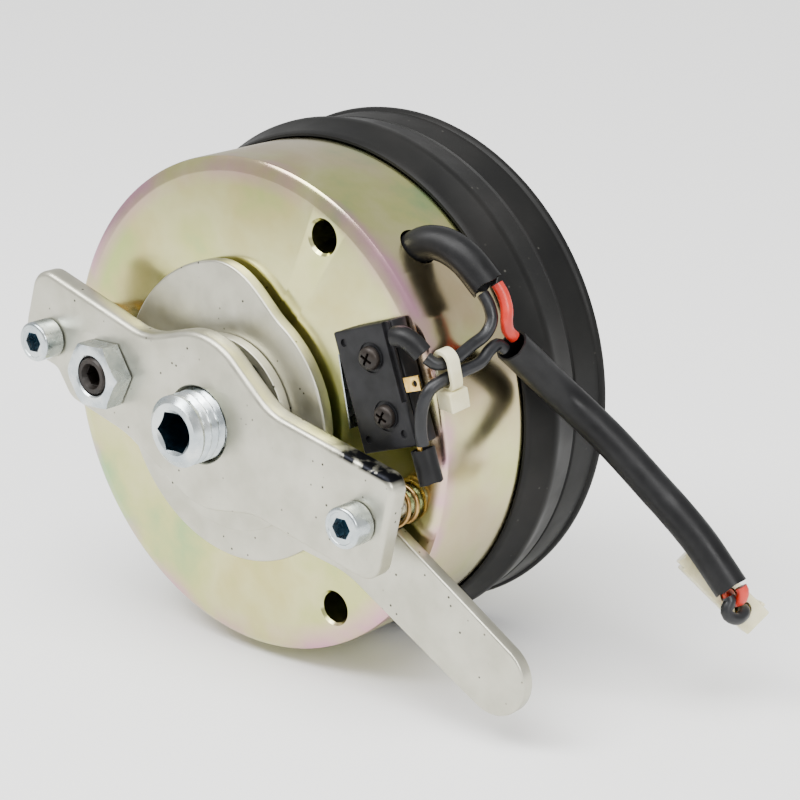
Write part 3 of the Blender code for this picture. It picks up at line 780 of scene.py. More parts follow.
class Look(Enum):
    """The finishes that the clutch is made in.

    Real grit, tool marks and moulding texture are about 0.1 mm, too fine to show from here, so
    the finest grains are drawn 0.25 to 0.6 mm across.
    """

    # a thin chromate film: glossy straw yellow that drifts to green, and to pink at the rim
    YELLOW_ZINC = PassivatedZinc(
        "yellow passivated zinc", "yellow_zinc",
        ((0.30, "#8FAE78"), (0.42, "#B9BB7A"), (0.52, "#C4C18C"), (0.62, "#BCB47A"),
         (0.72, "#A9B46E")),
        30.0, metallic=1.0, roughness=(0.14, 0.26), grains=(Grain(0.6, 0.004, 0.25),))
    # blasted before plating: a soft grey sheen with dark pits
    WHITE_ZINC = Finish("white zinc on blasted steel", **BLASTED)
    # the same, with a torn black patch along one edge
    WORN_ZINC = WornZinc("white zinc with a torn patch", **BLASTED)
    # turned or cold-headed, then plated: bright, with a cool cast
    BRIGHT_ZINC = Finish(
        "bright zinc on machined steel", "bright_steel",
        ((0.35, "#A3ACB0"), (0.5, "#B8C0C2"), (0.65, "#CDD2D0")),
        5.0, metallic=1.0, roughness=(0.20, 0.34), grains=(Grain(0.5, 0.006, 0.35),))
    # oiled black oxide: brown-black with a dull metal glint
    BLACK_OXIDE = Finish(
        "black oxide steel", "black_steel",
        ((0.4, "#14100D"), (0.6, "#231C17")), 3.0, metallic=0.5,
        roughness=(0.35, 0.5), grains=(Grain(0.4, 0.008, 0.4),))
    # drawn wire under the same chromate: darker and browner than the cup
    SPRING_WIRE = Finish(
        "yellow passivated spring wire", "spring_steel",
        ((0.4, "#8F6F42"), (0.6, "#AD8F5E")), 3.0, metallic=1.0,
        roughness=(0.25, 0.35), grains=(Grain(0.4, 0.004, 0.3),))
    # compression moulded: satin black with a faint ripple and grey dust
    RUBBER = Finish(
        "moulded rubber", "rubber",
        ((0.35, "#0D0D0D"), (0.5, "#121211"), (0.68, "#191817")), 22.0, specular=0.15,
        roughness=(0.38, 0.50), grains=(Grain(0.35, 0.006, 0.4), Grain(6.0, 0.03, 0.2)),
        specks=(0.3, 0.3, "#3C3B37"))
    # shrunk by heat: near black, softly glossy, slightly wrinkled
    SHRINK_TUBE = Finish(
        "polyolefin shrink tube", "shrink_sleeve",
        ((0.4, "#0E0E0F"), (0.6, "#161617")), 8.0, specular=0.2,
        roughness=(0.34, 0.48), grains=(Grain(1.2, 0.02, 0.35), Grain(0.3, 0.004, 0.4)))
    # moulded and even: matt black
    SWITCH_CASE = Finish(
        "moulded phenolic", "switch_plastic",
        ((0.4, "#121213"), (0.6, "#1B1B1D")), 6.0, specular=0.2, roughness=(0.36, 0.5),
        grains=(Grain(0.25, 0.006, 0.5),))
    # stamped strip: bright yellow metal
    BRASS = Finish(
        "stamped brass", "brass",
        ((0.4, "#C9A252"), (0.6, "#E2C27A")), 3.0, metallic=1.0,
        roughness=(0.22, 0.34), grains=(Grain(0.3, 0.004, 0.3),))
    # extruded: smooth, saturated, softly glossy
    RED_WIRE = Finish(
        "red PVC insulation", "red_wire",
        ((0.4, "#A81F12"), (0.6, "#C02C1B")), 4.0, roughness=(0.3, 0.42),
        grains=(Grain(0.5, 0.005, 0.4),))
    # the same in black
    BLACK_WIRE = Finish(
        "black PVC insulation", "black_wire",
        ((0.4, "#0D0E10"), (0.6, "#151619")), 4.0, specular=0.4, roughness=(0.3, 0.45),
        grains=(Grain(0.5, 0.005, 0.4),))
    # unfilled and moulded: milky, so that light goes a little way in
    NYLON = Finish(
        "natural nylon", "nylon",
        ((0.4, "#C9C29A"), (0.6, "#D8D2B0")), 5.0, roughness=(0.28, 0.4),
        grains=(Grain(0.4, 0.005, 0.3),), subsurface=0.35)
    # pressed resin and fibre: dull brown with brass-coloured flecks
    FRICTION = Finish(
        "moulded friction lining", "friction",
        ((0.35, "#3A332B"), (0.5, "#4C443A"), (0.65, "#63594C")), 1.5,
        roughness=(0.7, 0.9), grains=(Grain(0.6, 0.03, 0.6),), specks=(0.5, 0.8, "#9A8458"))
    # painted shade inside the hex sockets: dark blue-grey
    SOCKET = Finish(
        "painted socket shade", "bright_steel",
        ((0.4, "#1E3A4C"), (0.6, "#35505E")), 2.0, metallic=1.0,
        roughness=(0.3, 0.42))
    # enamelled wire wound in layers: amber bands round the coil
    COPPER = Finish(
        "varnished copper winding", "copper",
        ((0.4, "#7E3F22"), (0.6, "#A8623A")), 2.0, metallic=0.9,
        roughness=(0.25, 0.4), grains=(Grain(0.5, 0.03, 0.6),), squash=(1.0, 6.0, 1.0))


def dress(obj: bpy.types.Object, look: Look) -> None:
    """Give a piece one finish."""
    obj.data.materials.clear()
    obj.data.materials.append(look.value.material())


def darken(obj: bpy.types.Object, radius: float, mouth: float, at: Place = (0.0, 0.0)) -> None:
    """Paint a socket's walls and floor dark blue-grey, as painted shade.

    Args:
        obj: The piece that the socket is in.
        radius: Faces whose middle is nearer the axis than this take the painted shade, mm.
        mouth: The y that they are in front of, mm.
        at: The axis's (x, z), mm.
    """
    obj.data.materials.append(Look.SOCKET.value.material())
    for face in obj.data.polygons:
        centre = face.center / MM
        if math.hypot(centre.x - at[0], centre.z - at[1]) < radius and centre.y > mouth:
            face.material_index = 1


@dataclass
class Assembly:
    """Shared by the sub-assemblies: the body they ride on, and how a piece is handed over."""

    body: str = "magnet"

    def hand_over(self, obj: bpy.types.Object, look: Look, *nodes: str,
                  shaded: bool = True) -> bpy.types.Object:
        """Dress a finished piece, and let it stand for nodes of the frame.

        Args:
            obj: The piece.
            look: Its finish.
            nodes: The frame's nodes that it stands for.
            shaded: Whether it is shaded smooth here.

        Returns:
            The piece.
        """
        if shaded and obj.type == "MESH":
            smooth(obj)
        dress(obj, look)
        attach(obj, self.body)
        if nodes:
            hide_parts(*nodes)
        LOG.info("%s on %s", obj.name, self.body)
        return obj


# --- sub-assemblies -----------------------------------------------------------------------

@dataclass
class Magnet(Assembly):
    """The steel cup with its adjuster, washer and return springs. Sizes in mm."""

    radius: float = 52.5
    rear: float = REAR_FACE
    front: float = -21.2
    beyond: float = -18.0  # where the drills end, in front of the cup
    lead_angle: float = 44.8
    lead_y: float = -38.4
    thread_radius: float = 7.5
    thread_pitch: float = 2.0
    thread_depth: float = 0.95

    def cup(self) -> None:
        """The turned body with its through holes, seats and lead hole."""
        body = turned("magnet_cup", (
            (self.radius, self.front), (self.radius, -48.5), (52.38, -48.95), (52.0, -49.25),
            (51.4, -49.5), (49.8, -49.9), (49.4, self.rear), (CENTRE_BORE, self.rear),
            (CENTRE_BORE, -38.0), (19.8, -38.0), (19.8, self.front), (26.0, self.front),
            (26.0, -42.0), (38.0, -42.0), (38.0, self.front)), sides=192)
        for angle in BOLT_ANGLES:
            place = polar(BOLT_CIRCLE, angle)
            drill(body, BOLT_HOLE, (self.rear, self.beyond), place, chamfer=0.55)
            carve(body, rod("seat", 5.75, (-33.0, self.beyond), place))
        for angle in RELEASE_ANGLES.values():
            drill(body, 3.0, (self.rear, self.beyond), polar(RELEASE_CIRCLE, angle), chamfer=0.3)
        deselect()
        x, z = polar(46.0, self.lead_angle)
        bpy.ops.mesh.primitive_cylinder_add(vertices=48, radius=4.1 * MM, depth=20.0 * MM,
                                            location=(x * MM, self.lead_y * MM, z * MM),
                                            rotation=(0.0, QUARTER - math.radians(self.lead_angle),
                                                      0.0))
        carve(body, settle(bpy.context.object, "lead_drill"))
        self.hand_over(body, Look.YELLOW_ZINC, "magnet_body")

    def adjuster(self) -> None:
        """The hollow adjusting screw: a helical thread, a burred chamfer and a deep socket."""
        ring_step = self.thread_pitch / 12
        start, end = -58.5, -70.3
        rings = round((start - end) / ring_step)
        profile = [(6.5, -36.0), (7.3, -37.0), (7.3, -58.0)]
        profile += [(7.3, start - ring_step * index) for index in range(rings + 1)]
        profile += [(6.35, -71.2), (6.1, -71.45), (5.8, -71.5)]
        screw = turned("adjusting_screw", profile, sides=96, hollow=False)
        for vertex in screw.data.vertices:
            x, y, z = vertex.co / MM
            radius = math.hypot(x, z)
            if not end - 0.05 <= y <= start + 0.05 or radius < 7.0:
                continue
            turn = math.atan2(z, x) / (2 * math.pi)
            phase = (y / self.thread_pitch - turn) % 1.0
            fade = min(1.0, max(0.0, (start - y) / 0.8)) * min(1.0, max(0.0, (y - end) / 0.9))
            crest = 1.0 - min(1.0, abs(phase - 0.5) * 2.2)
            new_radius = self.thread_radius - self.thread_depth * crest * fade
            vertex.co.x = x * new_radius / radius * MM
            vertex.co.z = z * new_radius / radius * MM
        carve(screw, hexagon("socket", 8.0, (-73.0, -63.5)))
        carve(screw, rod("socket_sink", 5.4, (-71.9, -70.9), sides=48, tip=3.9))
        self.hand_over(screw, Look.BRIGHT_ZINC, "torque_adjuster")
        # painted shade: the socket's walls and floor are made dark blue-grey
        darken(screw, 4.75, -71.1)

    def small_parts(self) -> None:
        """The washer under the lever and the springs round the release screws."""
        washer = turned("lever_washer", ((CENTRE_BORE, -51.0), (12.0, -51.0),
                                         (12.0, -50.3), (CENTRE_BORE, -50.3)))
        self.hand_over(washer, Look.BRIGHT_ZINC, "thrust_washer")
        for side, angle in RELEASE_ANGLES.items():
            points = helix(3.7, (-58.8, -50.8), 3.5, polar(RELEASE_CIRCLE, angle))
            spring = strand(f"return_spring_{side}", points, 0.5)
            self.hand_over(spring, Look.SPRING_WIRE, f"release_spring_{side}")

    def build(self) -> None:
        """Make the whole sub-assembly."""
        self.cup()
        self.adjuster()
        self.small_parts()


@dataclass
class FrictionSide(Assembly):
    """Flange and rubber dust ring on the motor side, and the splined hub."""

    def build(self) -> None:
        """Make the whole sub-assembly."""
        flange = turned("motor_flange", (
            (17.0, -6.0), (52.3, -6.0), (52.5, -5.8), (52.5, -0.5), (52.0, 0.0), (17.5, 0.0),
            (17.0, -0.5)), sides=192)
        for angle in BOLT_ANGLES:
            place = polar(BOLT_CIRCLE, angle)
            drill(flange, BOLT_HOLE, (-6.0, 2.0), place)
            carve(flange, rod("sink", BOLT_HOLE, (-0.5, 0.2), place, tip=4.0))
        self.hand_over(flange, Look.YELLOW_ZINC, "flange_plate")
        cover = turned("dust_ring", (
            (52.8, -0.4), (55.2, -0.4), (55.5, -0.65), (55.6, -1.2), (55.35, -1.9), (54.9, -2.3),
            (54.8, -2.8), (54.7, -9.0), (54.6, -9.5), (54.2, -9.8), (54.1, -10.0),
            (54.25, -10.25), (54.65, -10.5), (54.75, -11.0), (55.1, -14.0), (55.65, -16.4),
            (55.8, -17.1), (55.75, -17.9), (55.5, -18.6), (55.1, -19.3), (53.9, -23.6),
            (53.6, -24.5), (53.3, -24.9), (52.8, -25.0)), sides=192)
        self.hand_over(cover, Look.RUBBER, "cover_ring")
        self.body = "hub"
        teeth = []
        for tooth in range(8):
            for radius, offset in ((11.5, -14.0), (13.5, -9.0), (13.5, 9.0), (11.5, 14.0)):
                teeth.append((*polar(radius, 45.0 * tooth + offset), 0.35))
        hub = plate("splined_hub", rounded(teeth, 15.0), (-24.0, -2.0), 0.4)
        carve(hub, rod("shaft", 7.5, (-26.0, 0.0), sides=96))
        carve(hub, rod("shaft_sink", 7.4, (-3.0, -1.8), sides=96, tip=8.6))
        self.hand_over(hub, Look.BRIGHT_ZINC, "hub")


@dataclass
class Lever(Assembly):
    """Hand-release lever: a cam disc with an arm, and the ramp disc on it."""

    body: str = "lever"
    small: float = 25.3
    large: float = 31.9
    end: Place = (67.0, -41.3)
    end_radius: float = 7.8

    def outline(self) -> list[Vector]:
        """Draw the disc with its two radii, and the arm with its round end.

        Returns:
            The outline's (x, z) points, mm.
        """
        corners = []
        for degrees in range(-10, 308, 3):
            rise = max(0.0, min(1.0, (degrees - 55) / 42.0))
            blend = (1 - math.cos(math.pi * rise)) / 2
            corners.append((*polar(self.small + (self.large - self.small) * blend, degrees), 0.0))
        corners.append((30.0, -28.3, 20.0))
        for step in range(37):
            x, z = polar(self.end_radius, -120.8 + 5 * step)
            corners.append((self.end[0] + x, self.end[1] + z, 0.0))
        return rounded(corners, 3.0)

    def build(self) -> None:
        """Make the whole sub-assembly."""
        lever = plate("hand_lever", self.outline(), (-54.3, -51.3), 0.5)
        carve(lever, rod("bore", CENTRE_BORE, (-56.0, -50.0), sides=96))
        carve(lever, rod("relief", 5.0, (-56.0, -50.0),
                         polar(RELEASE_CIRCLE, RELEASE_ANGLES["right"]), sides=64))
        self.hand_over(lever, Look.WHITE_ZINC, "release_lever")
        rim = [(*polar(24.5 if 204 <= degrees <= 336 else 17.0, degrees), 0.0)
               for degrees in range(0, 360, 2)]
        disc = plate("ramp_ring", rounded(rim), (-57.0, -54.6), 0.2)
        carve(disc, rod("bore", CENTRE_BORE, (-58.0, -53.0), sides=96))
        for start in BALL_ANGLES:
            points = []
            for along in range(-14, 85, 7):
                x, z = polar(BALL_CIRCLE, start + along)
                lift = LEVER_LIFT * max(0.0, min(1.0, along / LEVER_TRAVEL))
                points.append(Vector((x, BALL_Y - lift, z)) * MM)
            carve(disc, strand("groove", points, 3.05))
        self.hand_over(disc, Look.WHITE_ZINC, "ramp_disc")


@dataclass
class Yoke(Assembly):
    """Waisted yoke plate with its cap screws, set screw and lock nut."""

    body: str = "yoke"
    gap_screw: Place = (-26.0, 6.8)
    rear: float = -64.5
    front: float = -59.6
    beyond: float = -58.0  # where the drills end, in front of the plate
    corners: tuple[Point, ...] = (
        (-46.7, 27.0, 5.0), (-14.5, 16.2, 14.0), (4.2, 20.8, 15.0), (19.8, 6.2, 14.0),
        (52.3, -1.8, 3.5), (46.4, -24.3, 4.2), (14.1, -16.5, 14.0), (-1.5, -18.6, 14.0),
        (-22.1, -6.1, 20.0), (-38.5, -1.2, 5.0), (-42.3, 4.8, 3.0), (-52.6, 7.6, 4.0),
        (-50.9, 14.7, 0.0), (-48.4, 21.9, 0.0))

    def plate(self) -> None:
        """The thick plate with its rounded rims and holes."""
        yoke = plate("yoke", rounded(self.corners, 4.0), (self.rear, self.front), 1.2)
        drill(yoke, 8.1, (self.rear, self.beyond), chamfer=0.25, sides=96)
        drill(yoke, 4.3, (self.rear, self.beyond), self.gap_screw)
        for angle in RELEASE_ANGLES.values():
            drill(yoke, 2.8, (self.rear, self.beyond), polar(RELEASE_CIRCLE, angle))
        for angle in BALL_ANGLES:
            x, z = polar(BALL_CIRCLE, angle)
            deselect()
            bpy.ops.mesh.primitive_uv_sphere_add(segments=32, ring_count=16, radius=2.75 * MM,
                                                 location=(x * MM, BALL_Y * MM, z * MM))
            carve(yoke, settle(bpy.context.object, "pocket"))
        self.hand_over(yoke, Look.WORN_ZINC, "yoke_plate")

    def screws(self) -> None:
        """The two cap screws, the set screw and its nut."""
        for side, angle in RELEASE_ANGLES.items():
            place = polar(RELEASE_CIRCLE, angle)
            screw = turned(f"cap_screw_{side}", (
                (2.2, -15.6), (2.5, -15.9), (2.5, -64.8), (4.1, -64.8), (4.25, -65.0),
                (4.25, -69.1), (4.2, -69.4), (4.05, -69.65), (3.8, -69.78), (3.5, -69.8),
                (3.3, -69.8), (3.2, -69.66), (3.0, -69.66)), sides=64, at=place, hollow=False)
            carve(screw, hexagon("key", 4.0, (-71.0, -67.0), place))
            self.hand_over(screw, Look.BRIGHT_ZINC, f"release_screw_{side}")
            # painted shade: the key socket's walls and floor are made dark blue-grey
            darken(screw, 1.9, -69.6, place)
        nut = hexagon("thin_nut", 13.0, (-69.3, -64.8), self.gap_screw)
        cones = turned("nut_cones", ((6.6, -69.4), (7.8, -68.7), (7.8, -64.9), (7.4, -64.7)),
                       sides=96, at=self.gap_screw, hollow=False)
        carve(nut, cones, "INTERSECT")
        carve(nut, rod("thread", 4.25, (-71.0, -63.0), self.gap_screw))
        carve(nut, rod("mouth", 4.9, (-69.6, -68.9), self.gap_screw, tip=4.2))
        self.hand_over(nut, Look.BRIGHT_ZINC, "lock_nut")
        setter = turned("set_screw", ((3.3, -57.4), (4.0, -58.1), (4.0, -68.8), (3.6, -69.3),
                                      (3.1, -69.3)), sides=64, at=self.gap_screw, hollow=False)
        carve(setter, rod("cup", 3.0, (-69.8, -68.2), self.gap_screw, tip=2.2))
        carve(setter, hexagon("key", 4.0, (-71.0, -62.5), self.gap_screw))
        self.hand_over(setter, Look.BLACK_OXIDE, "gap_screw")

    def build(self) -> None:
        """Make the whole sub-assembly."""
        self.plate()
        self.screws()


@dataclass
class Microswitch(Assembly):
    """Snap-action switch: case, screws, button, actuating strip and terminals."""

    corner: Place = (30.4, 22.3)
    turn: float = 17.5
    width: float = 14.0
    length: float = 24.5
    rear: float = REAR_FACE
    screws: tuple[Place, ...] = ((8.4, 6.2), (8.4, 17.8))

    def frame(self) -> Matrix:
        """Find the case's frame.

        Returns:
            A frame with X across the case, Y down it and Z into the magnet.
        """
        turn = math.radians(self.turn)
        across = Vector((math.cos(turn), 0.0, math.sin(turn)))
        down = Vector((math.sin(turn), 0.0, -math.cos(turn)))
        matrix = Matrix((across, down, Vector((0.0, 1.0, 0.0)))).transposed().to_4x4()
        return Matrix.Translation((self.corner[0] * MM, self.rear * MM,
                                   self.corner[1] * MM)) @ matrix

    def at(self, across: float, down: float) -> Place:
        """The (x, z) of a point in the case's frame."""
        point = self.frame() @ Vector((across * MM, down * MM, 0.0)) / MM
        return (point.x, point.z)

    def case(self) -> None:
        """Base and cover, with the step down the cover's side."""
        place = self.frame()
        base = block("case_base", ((0, self.width), (0, self.length), (-4.6, -0.25)), place, 0.4)
        cover = block("case_cover", ((0, self.width), (0, self.length), (-6.5, -4.9)), place, 0.4)
        carve(cover, block("step", ((13.1, 15.0), (-1.0, 15.8), (-7.0, -5.75)), place))
        carve(base, block("well", ((-1.0, 3.6), (7.6, 10.4), (-3.9, -1.1)), place))
        for across, down in self.screws:
            where = self.at(across, down)
            carve(base, rod("bore", 1.5, (-56.0, -49.0), where, sides=32))
            carve(cover, rod("bore", 1.5, (-58.0, -54.0), where, sides=32))
            carve(cover, turned("seat", ((2.6, -57.0), (3.1, -57.0), (3.1, -56.2), (2.6, -56.2)),
                                sides=48, at=where))
        for across, down in ((2.2, 2.4), (2.2, 21.8), (11.6, 21.8)):
            where = self.at(across, down)
            carve(cover, rod("rivet", 0.8, (-58.0, -56.0), where, sides=32))
        self.hand_over(base, Look.SWITCH_CASE, "switch_base")
        self.hand_over(cover, Look.SWITCH_CASE, "switch_cover")

    def fixings(self) -> None:
        """The two cross-recess screws."""
        for label, (across, down) in zip(("upper", "lower"), self.screws):
            where = self.at(across, down)
            screw = turned(f"case_screw_{label}", (
                (1.2, -45.5), (1.2, -56.75), (2.3, -56.75), (2.4, -56.95), (2.3, -57.6),
                (2.0, -58.0), (1.5, -58.2), (0.8, -58.3)), sides=48, at=where, hollow=False)
            place = Matrix.Translation((where[0] * MM, 0.0, where[1] * MM))
            place = place @ Matrix.Rotation(math.radians(25.0), 4, "Y")
            for spans in (((-1.4, 1.4), (-60.0, -57.2), (-0.28, 0.28)),
                          ((-0.28, 0.28), (-60.0, -57.2), (-1.4, 1.4))):
                carve(screw, block("slot", spans, place))
            self.hand_over(screw, Look.BLACK_OXIDE, f"switch_screw_{label}")

    def contacts(self) -> None:
        """The three terminal blades, the middle one with an eye."""
        place = self.frame()
        blades = {"upper": ((14.25, 17.0), (2.2, 4.4), (-5.85, -5.35)),
                  "middle": ((14.25, 18.1), (11.2, 14.2), (-5.85, -5.35)),
                  "lower": ((12.9, 13.9), (24.75, 28.4), (-5.5, -4.9))}
        for label, spans in blades.items():
            blade = block(f"blade_{label}", spans, place, 0.12)
            if label == "middle":
                carve(blade, rod("eye", 0.7, (-57.0, -54.0), self.at(16.9, 12.7), sides=32))
            self.hand_over(blade, Look.BRASS, f"switch_terminal_{label}")

    def moving(self) -> None:
        """The button and the strip that presses it."""
        place = self.frame()
        self.body = "button"
        button = block("plunger", ((-0.7, 2.9), (8.0, 10.0), (-3.5, -1.5)), place, 0.25)
        self.hand_over(button, Look.SWITCH_CASE, "switch_button")
        self.body = "strip"
        start, end = Vector((-0.65, 4.4)), Vector((-2.75, 19.2))
        swing = math.atan2(end.y - start.y, end.x - start.x)
        pivot = place @ Matrix.Translation((start.x * MM, start.y * MM, -3.8 * MM))
        pivot = pivot @ Matrix.Rotation(swing, 4, "Z")
        strip = block("leaf", ((0.0, (end - start).length), (-0.15, 0.15), (-2.0, 2.0)), pivot)
        bevel(strip, 0.06, 2)
        self.hand_over(strip, Look.BRIGHT_ZINC, "switch_strip")

    def build(self) -> None:
        """Make the whole sub-assembly."""
        self.case()
        self.fixings()
        self.contacts()
        self.moving()


@dataclass
class Leads(Assembly):
    """Sleeves, wires, tie, shrink tube and the two-way connector."""

    wire: float = 1.25
    tube: float = 3.5
    connector_at: Point = (95.9, -15.0, -28.2)
    connector_long: Point = (0.663, 0.293, -0.687)
    connector_short: Point = (0.430, 0.630, 0.645)
    routes: dict[str, tuple[Point, ...]] = field(default_factory=lambda: {
        "exit_sleeve": ((33.0, -38.4, 32.8), (37.3, -38.4, 37.0), (42.4, -37.9, 38.1),
                        (48.1, -37.5, 35.9), (53.3, -36.7, 30.7)),
        "coil_wire_red": ((54.4, -35.4, 31.2), (55.7, -35.2, 29.2), (56.9, -35.6, 26.6),
                          (57.1, -36.0, 24.3), (57.1, -35.5, 22.3), (57.5, -34.1, 20.8)),
        "coil_wire_black": ((52.9, -37.9, 29.5), (54.4, -38.0, 27.6), (55.5, -38.5, 24.9),
                            (55.4, -40.4, 22.4), (54.9, -44.2, 20.9), (55.1, -48.9, 19.6),
                            (54.6, -51.0, 19.2), (53.7, -53.3, 19.1), (52.1, -54.3, 20.3)),
        "terminal_sleeve_upper": ((45.6, -55.6, 23.7), (47.6, -55.6, 24.0),
                                  (49.9, -55.2, 22.8), (51.5, -54.6, 21.0)),
        "terminal_sleeve_lower": ((51.9, -55.6, 2.6), (52.8, -55.6, -0.3),
                                  (53.9, -55.5, -4.0)),
        "return_wire_black": ((52.5, -56.3, 3.6), (52.3, -56.6, 6.6), (52.5, -56.3, 10.9),
                              (53.6, -55.0, 14.6), (54.9, -51.2, 16.2), (55.6, -48.2, 16.8),
                              (56.4, -43.6, 17.6), (56.3, -40.4, 19.3), (56.4, -37.9, 20.0),
                              (56.9, -36.3, 18.7)),
        "lead_tube": ((57.3, -34.8, 19.3), (60.4, -23.0, 7.5), (69.7, -19.0, -1.7),
                      (80.4, -17.0, -11.6), (83.2, -17.0, -13.7), (89.2, -16.0, -19.8),
                      (95.9, -15.0, -28.2)),
        "tail_wire_black": ((95.8, -15.9, -29.7), (96.3, -16.0, -30.6), (96.1, -16.9, -31.9),
                            (96.5, -16.8, -33.2), (97.3, -15.0, -34.3), (97.4, -12.6, -34.0),
                            (96.3, -10.9, -33.9), (94.5, -8.9, -34.7)),
        "tail_wire_red": ((97.3, -13.8, -27.9), (97.7, -13.7, -28.7), (97.6, -13.7, -29.9),
                          (96.6, -13.6, -31.0), (95.0, -13.2, -31.3), (93.6, -12.1, -31.1),
                          (91.7, -9.8, -32.0)),
    })

    def hollow_tube(self, name: str, points: Sequence[Vector], radius: float, wall: float,
                    ragged: float) -> bpy.types.Object:
        """An open tube with a wall and ends that aren't cut quite square.

        Args:
            name: The piece's name.
            points: Its centreline, metres.
            radius: Its outer radius, mm.
            wall: Its wall, mm.
            ragged: How far its ends waver, mm.

        Returns:
            The tube.
        """
        tube = strand(name, points, radius, capped=False)
        dice = random.Random(len(name))
        waves = [(dice.uniform(0.3, 1.0), dice.uniform(0, 2 * math.pi)) for _ in range(4)]
        for end, inner in ((points[0], points[1]), (points[-1], points[-2])):
            outward = (end - inner).normalized()
            side = outward.orthogonal().normalized()
            for vertex in tube.data.vertices:
                offset = vertex.co - end
                off_end = abs(offset.dot(outward)) > ON_END
                if off_end or offset.length > radius * MM * 1.1:
                    continue
                angle = math.atan2(offset.dot(outward.cross(side)), offset.dot(side))
                wave = sum(size * math.sin((order + 1) * angle + shift)
                           for order, (size, shift) in enumerate(waves))
                vertex.co -= outward * (ragged * MM * 0.4 * abs(wave))
        apply_modifier(tube, "SOLIDIFY", thickness=wall * MM, offset=-1.0)
        return smooth(tube)

    def wires(self) -> dict[str, bpy.types.Object]:
        """Make the wires and sleeves, the two cords among them.

        Returns:
            Each piece by the name of its node.
        """
        made: dict[str, bpy.types.Object] = {}
        spacing = {"lead_tube": 1.5, "exit_sleeve": 1.2}
        for node, route in self.routes.items():
            points = smooth_route(route, spacing.get(node, 0.8))
            name = f"{node}_run"
            if node in ("lead_tube", "exit_sleeve"):
                ragged = 0.5 if node == "lead_tube" else 0.8
                piece = self.hollow_tube(name, points, self.tube, 0.45, ragged)
                look = Look.SHRINK_TUBE
            elif node.startswith("terminal_sleeve"):
                radius = 2.1 if node.endswith("upper") else 2.4
                piece = self.hollow_tube(name, points, radius, 0.35, 0.25)
                look = Look.SHRINK_TUBE
            else:
                piece = strand(name, points, self.wire)
                look = Look.RED_WIRE if "red" in node else Look.BLACK_WIRE
            self.hand_over(piece, look, node, shaded=False)
            made[node] = piece
        return made

    def tie(self) -> None:
        """The cable tie: band, head and the stub of its tail."""
        place = frame_along((54.75, -51.1, 17.7), (0.0, 0.0, 1.0), (0.25, 0.95, 0.18))
        outer = rounded(((-4.3, -2.7, 2.5), (4.3, -2.7, 2.5), (4.3, 2.7, 2.5), (-4.3, 2.7, 2.5)),
                        9.0)
        inner = rounded(((-3.4, -1.8, 1.7), (3.4, -1.8, 1.7), (3.4, 1.8, 1.7), (-3.4, 1.8, 1.7)),
                        9.0)
        band = plate("tie_band", outer, (-1.25, 1.25), 0.2, place)
        head = block("tie_head", ((-8.0, -3.8), (-2.2, 2.4), (-2.2, 2.2)), place, 0.35)
        carve(head, block("tie_slot", ((-9.0, -6.6), (-1.0, 1.0), (-1.4, 1.4)), place))
        carve(band, head, "UNION")
        carve(band, plate("tie_hollow", inner, (-3.0, 3.0), 0.01, place))
        self.hand_over(band, Look.NYLON, "wire_tie")

    def connector(self) -> list[bpy.types.Object]:
        """Make the two-way plug housing, with its latch tab, ribs and terminals.

        Returns:
            The housing and both terminals.
        """
        wire_side = Vector(self.connector_long).cross(Vector(self.connector_short))
        place = frame_along(self.connector_at, self.connector_long, tuple(wire_side))
        housing = block("plug_housing", ((-8.6, 9.6), (-4.0, 2.2), (-14.2, -5.2)), place, 0.35)
        tab = block("plug_tab", ((-10.2, -8.0), (-3.4, 1.6), (-10.2, -5.2)), place, 0.3)
        carve(housing, tab, "UNION")
        for across in (-4.6, 7.6):
            rib = block("plug_rib", ((across - 0.45, across + 0.45), (2.0, 2.75), (-13.4, -5.9)),
                        place, 0.12)
            carve(housing, rib, "UNION")
        pieces = []
        for colour, across in (("red", 1.4), ("black", 5.4)):
            deselect()
            bpy.ops.mesh.primitive_cylinder_add(vertices=48, radius=1.7 * MM, depth=4.7 * MM,
                                                location=(across * MM, -1.1 * MM, -6.35 * MM))
            bore = settle(bpy.context.object, "wire_bore")
            bore.matrix_world = place
            carve(housing, settle(bore, "wire_bore"))
            carve(housing, block("way", ((across - 1.7, across + 1.7), (-2.8, 0.6),
                                         (-15.2, -10.2)), place))
            blade = block(f"plug_terminal_{colour}", ((across - 1.1, across + 1.1), (-2.2, 0.0),
                                                      (-13.6, -10.5)), place, 0.15)
            self.hand_over(blade, Look.BRASS, f"connector_terminal_{colour}")
            pieces.append(blade)
        self.hand_over(housing, Look.NYLON, "connector_housing")
        return [housing] + pieces

    def build(self) -> None:
        """Make the whole sub-assembly."""
        made = self.wires()
        self.tie()
        plug = self.connector()


@dataclass
class Inside:
    """The nodes that keep the frame's own mesh, and the finish of each."""

    looks: dict[Look, tuple[str, ...]] = field(default_factory=lambda: {
        Look.BRIGHT_ZINC: ("sleeve_bolt_1", "sleeve_bolt_2", "sleeve_bolt_3", "spring_plate",
                           "ball_1", "ball_2", "ball_3"),
        Look.YELLOW_ZINC: ("armature_plate",),
        Look.WHITE_ZINC: ("rotor_disc",),
        Look.FRICTION: ("lining_rear", "lining_front"),
        Look.COPPER: ("coil_winding",),
        Look.SWITCH_CASE: ("coil_former",),
        Look.SPRING_WIRE: ("torque_spring",),
    })

    def build(self, nodes: dict[str, bpy.types.Object]) -> None:
        """Give those nodes their finishes.

        Args:
            nodes: The frame's nodes by name.
        """
        for look, names in self.looks.items():
            for name in names:
                dress(nodes[name], look)


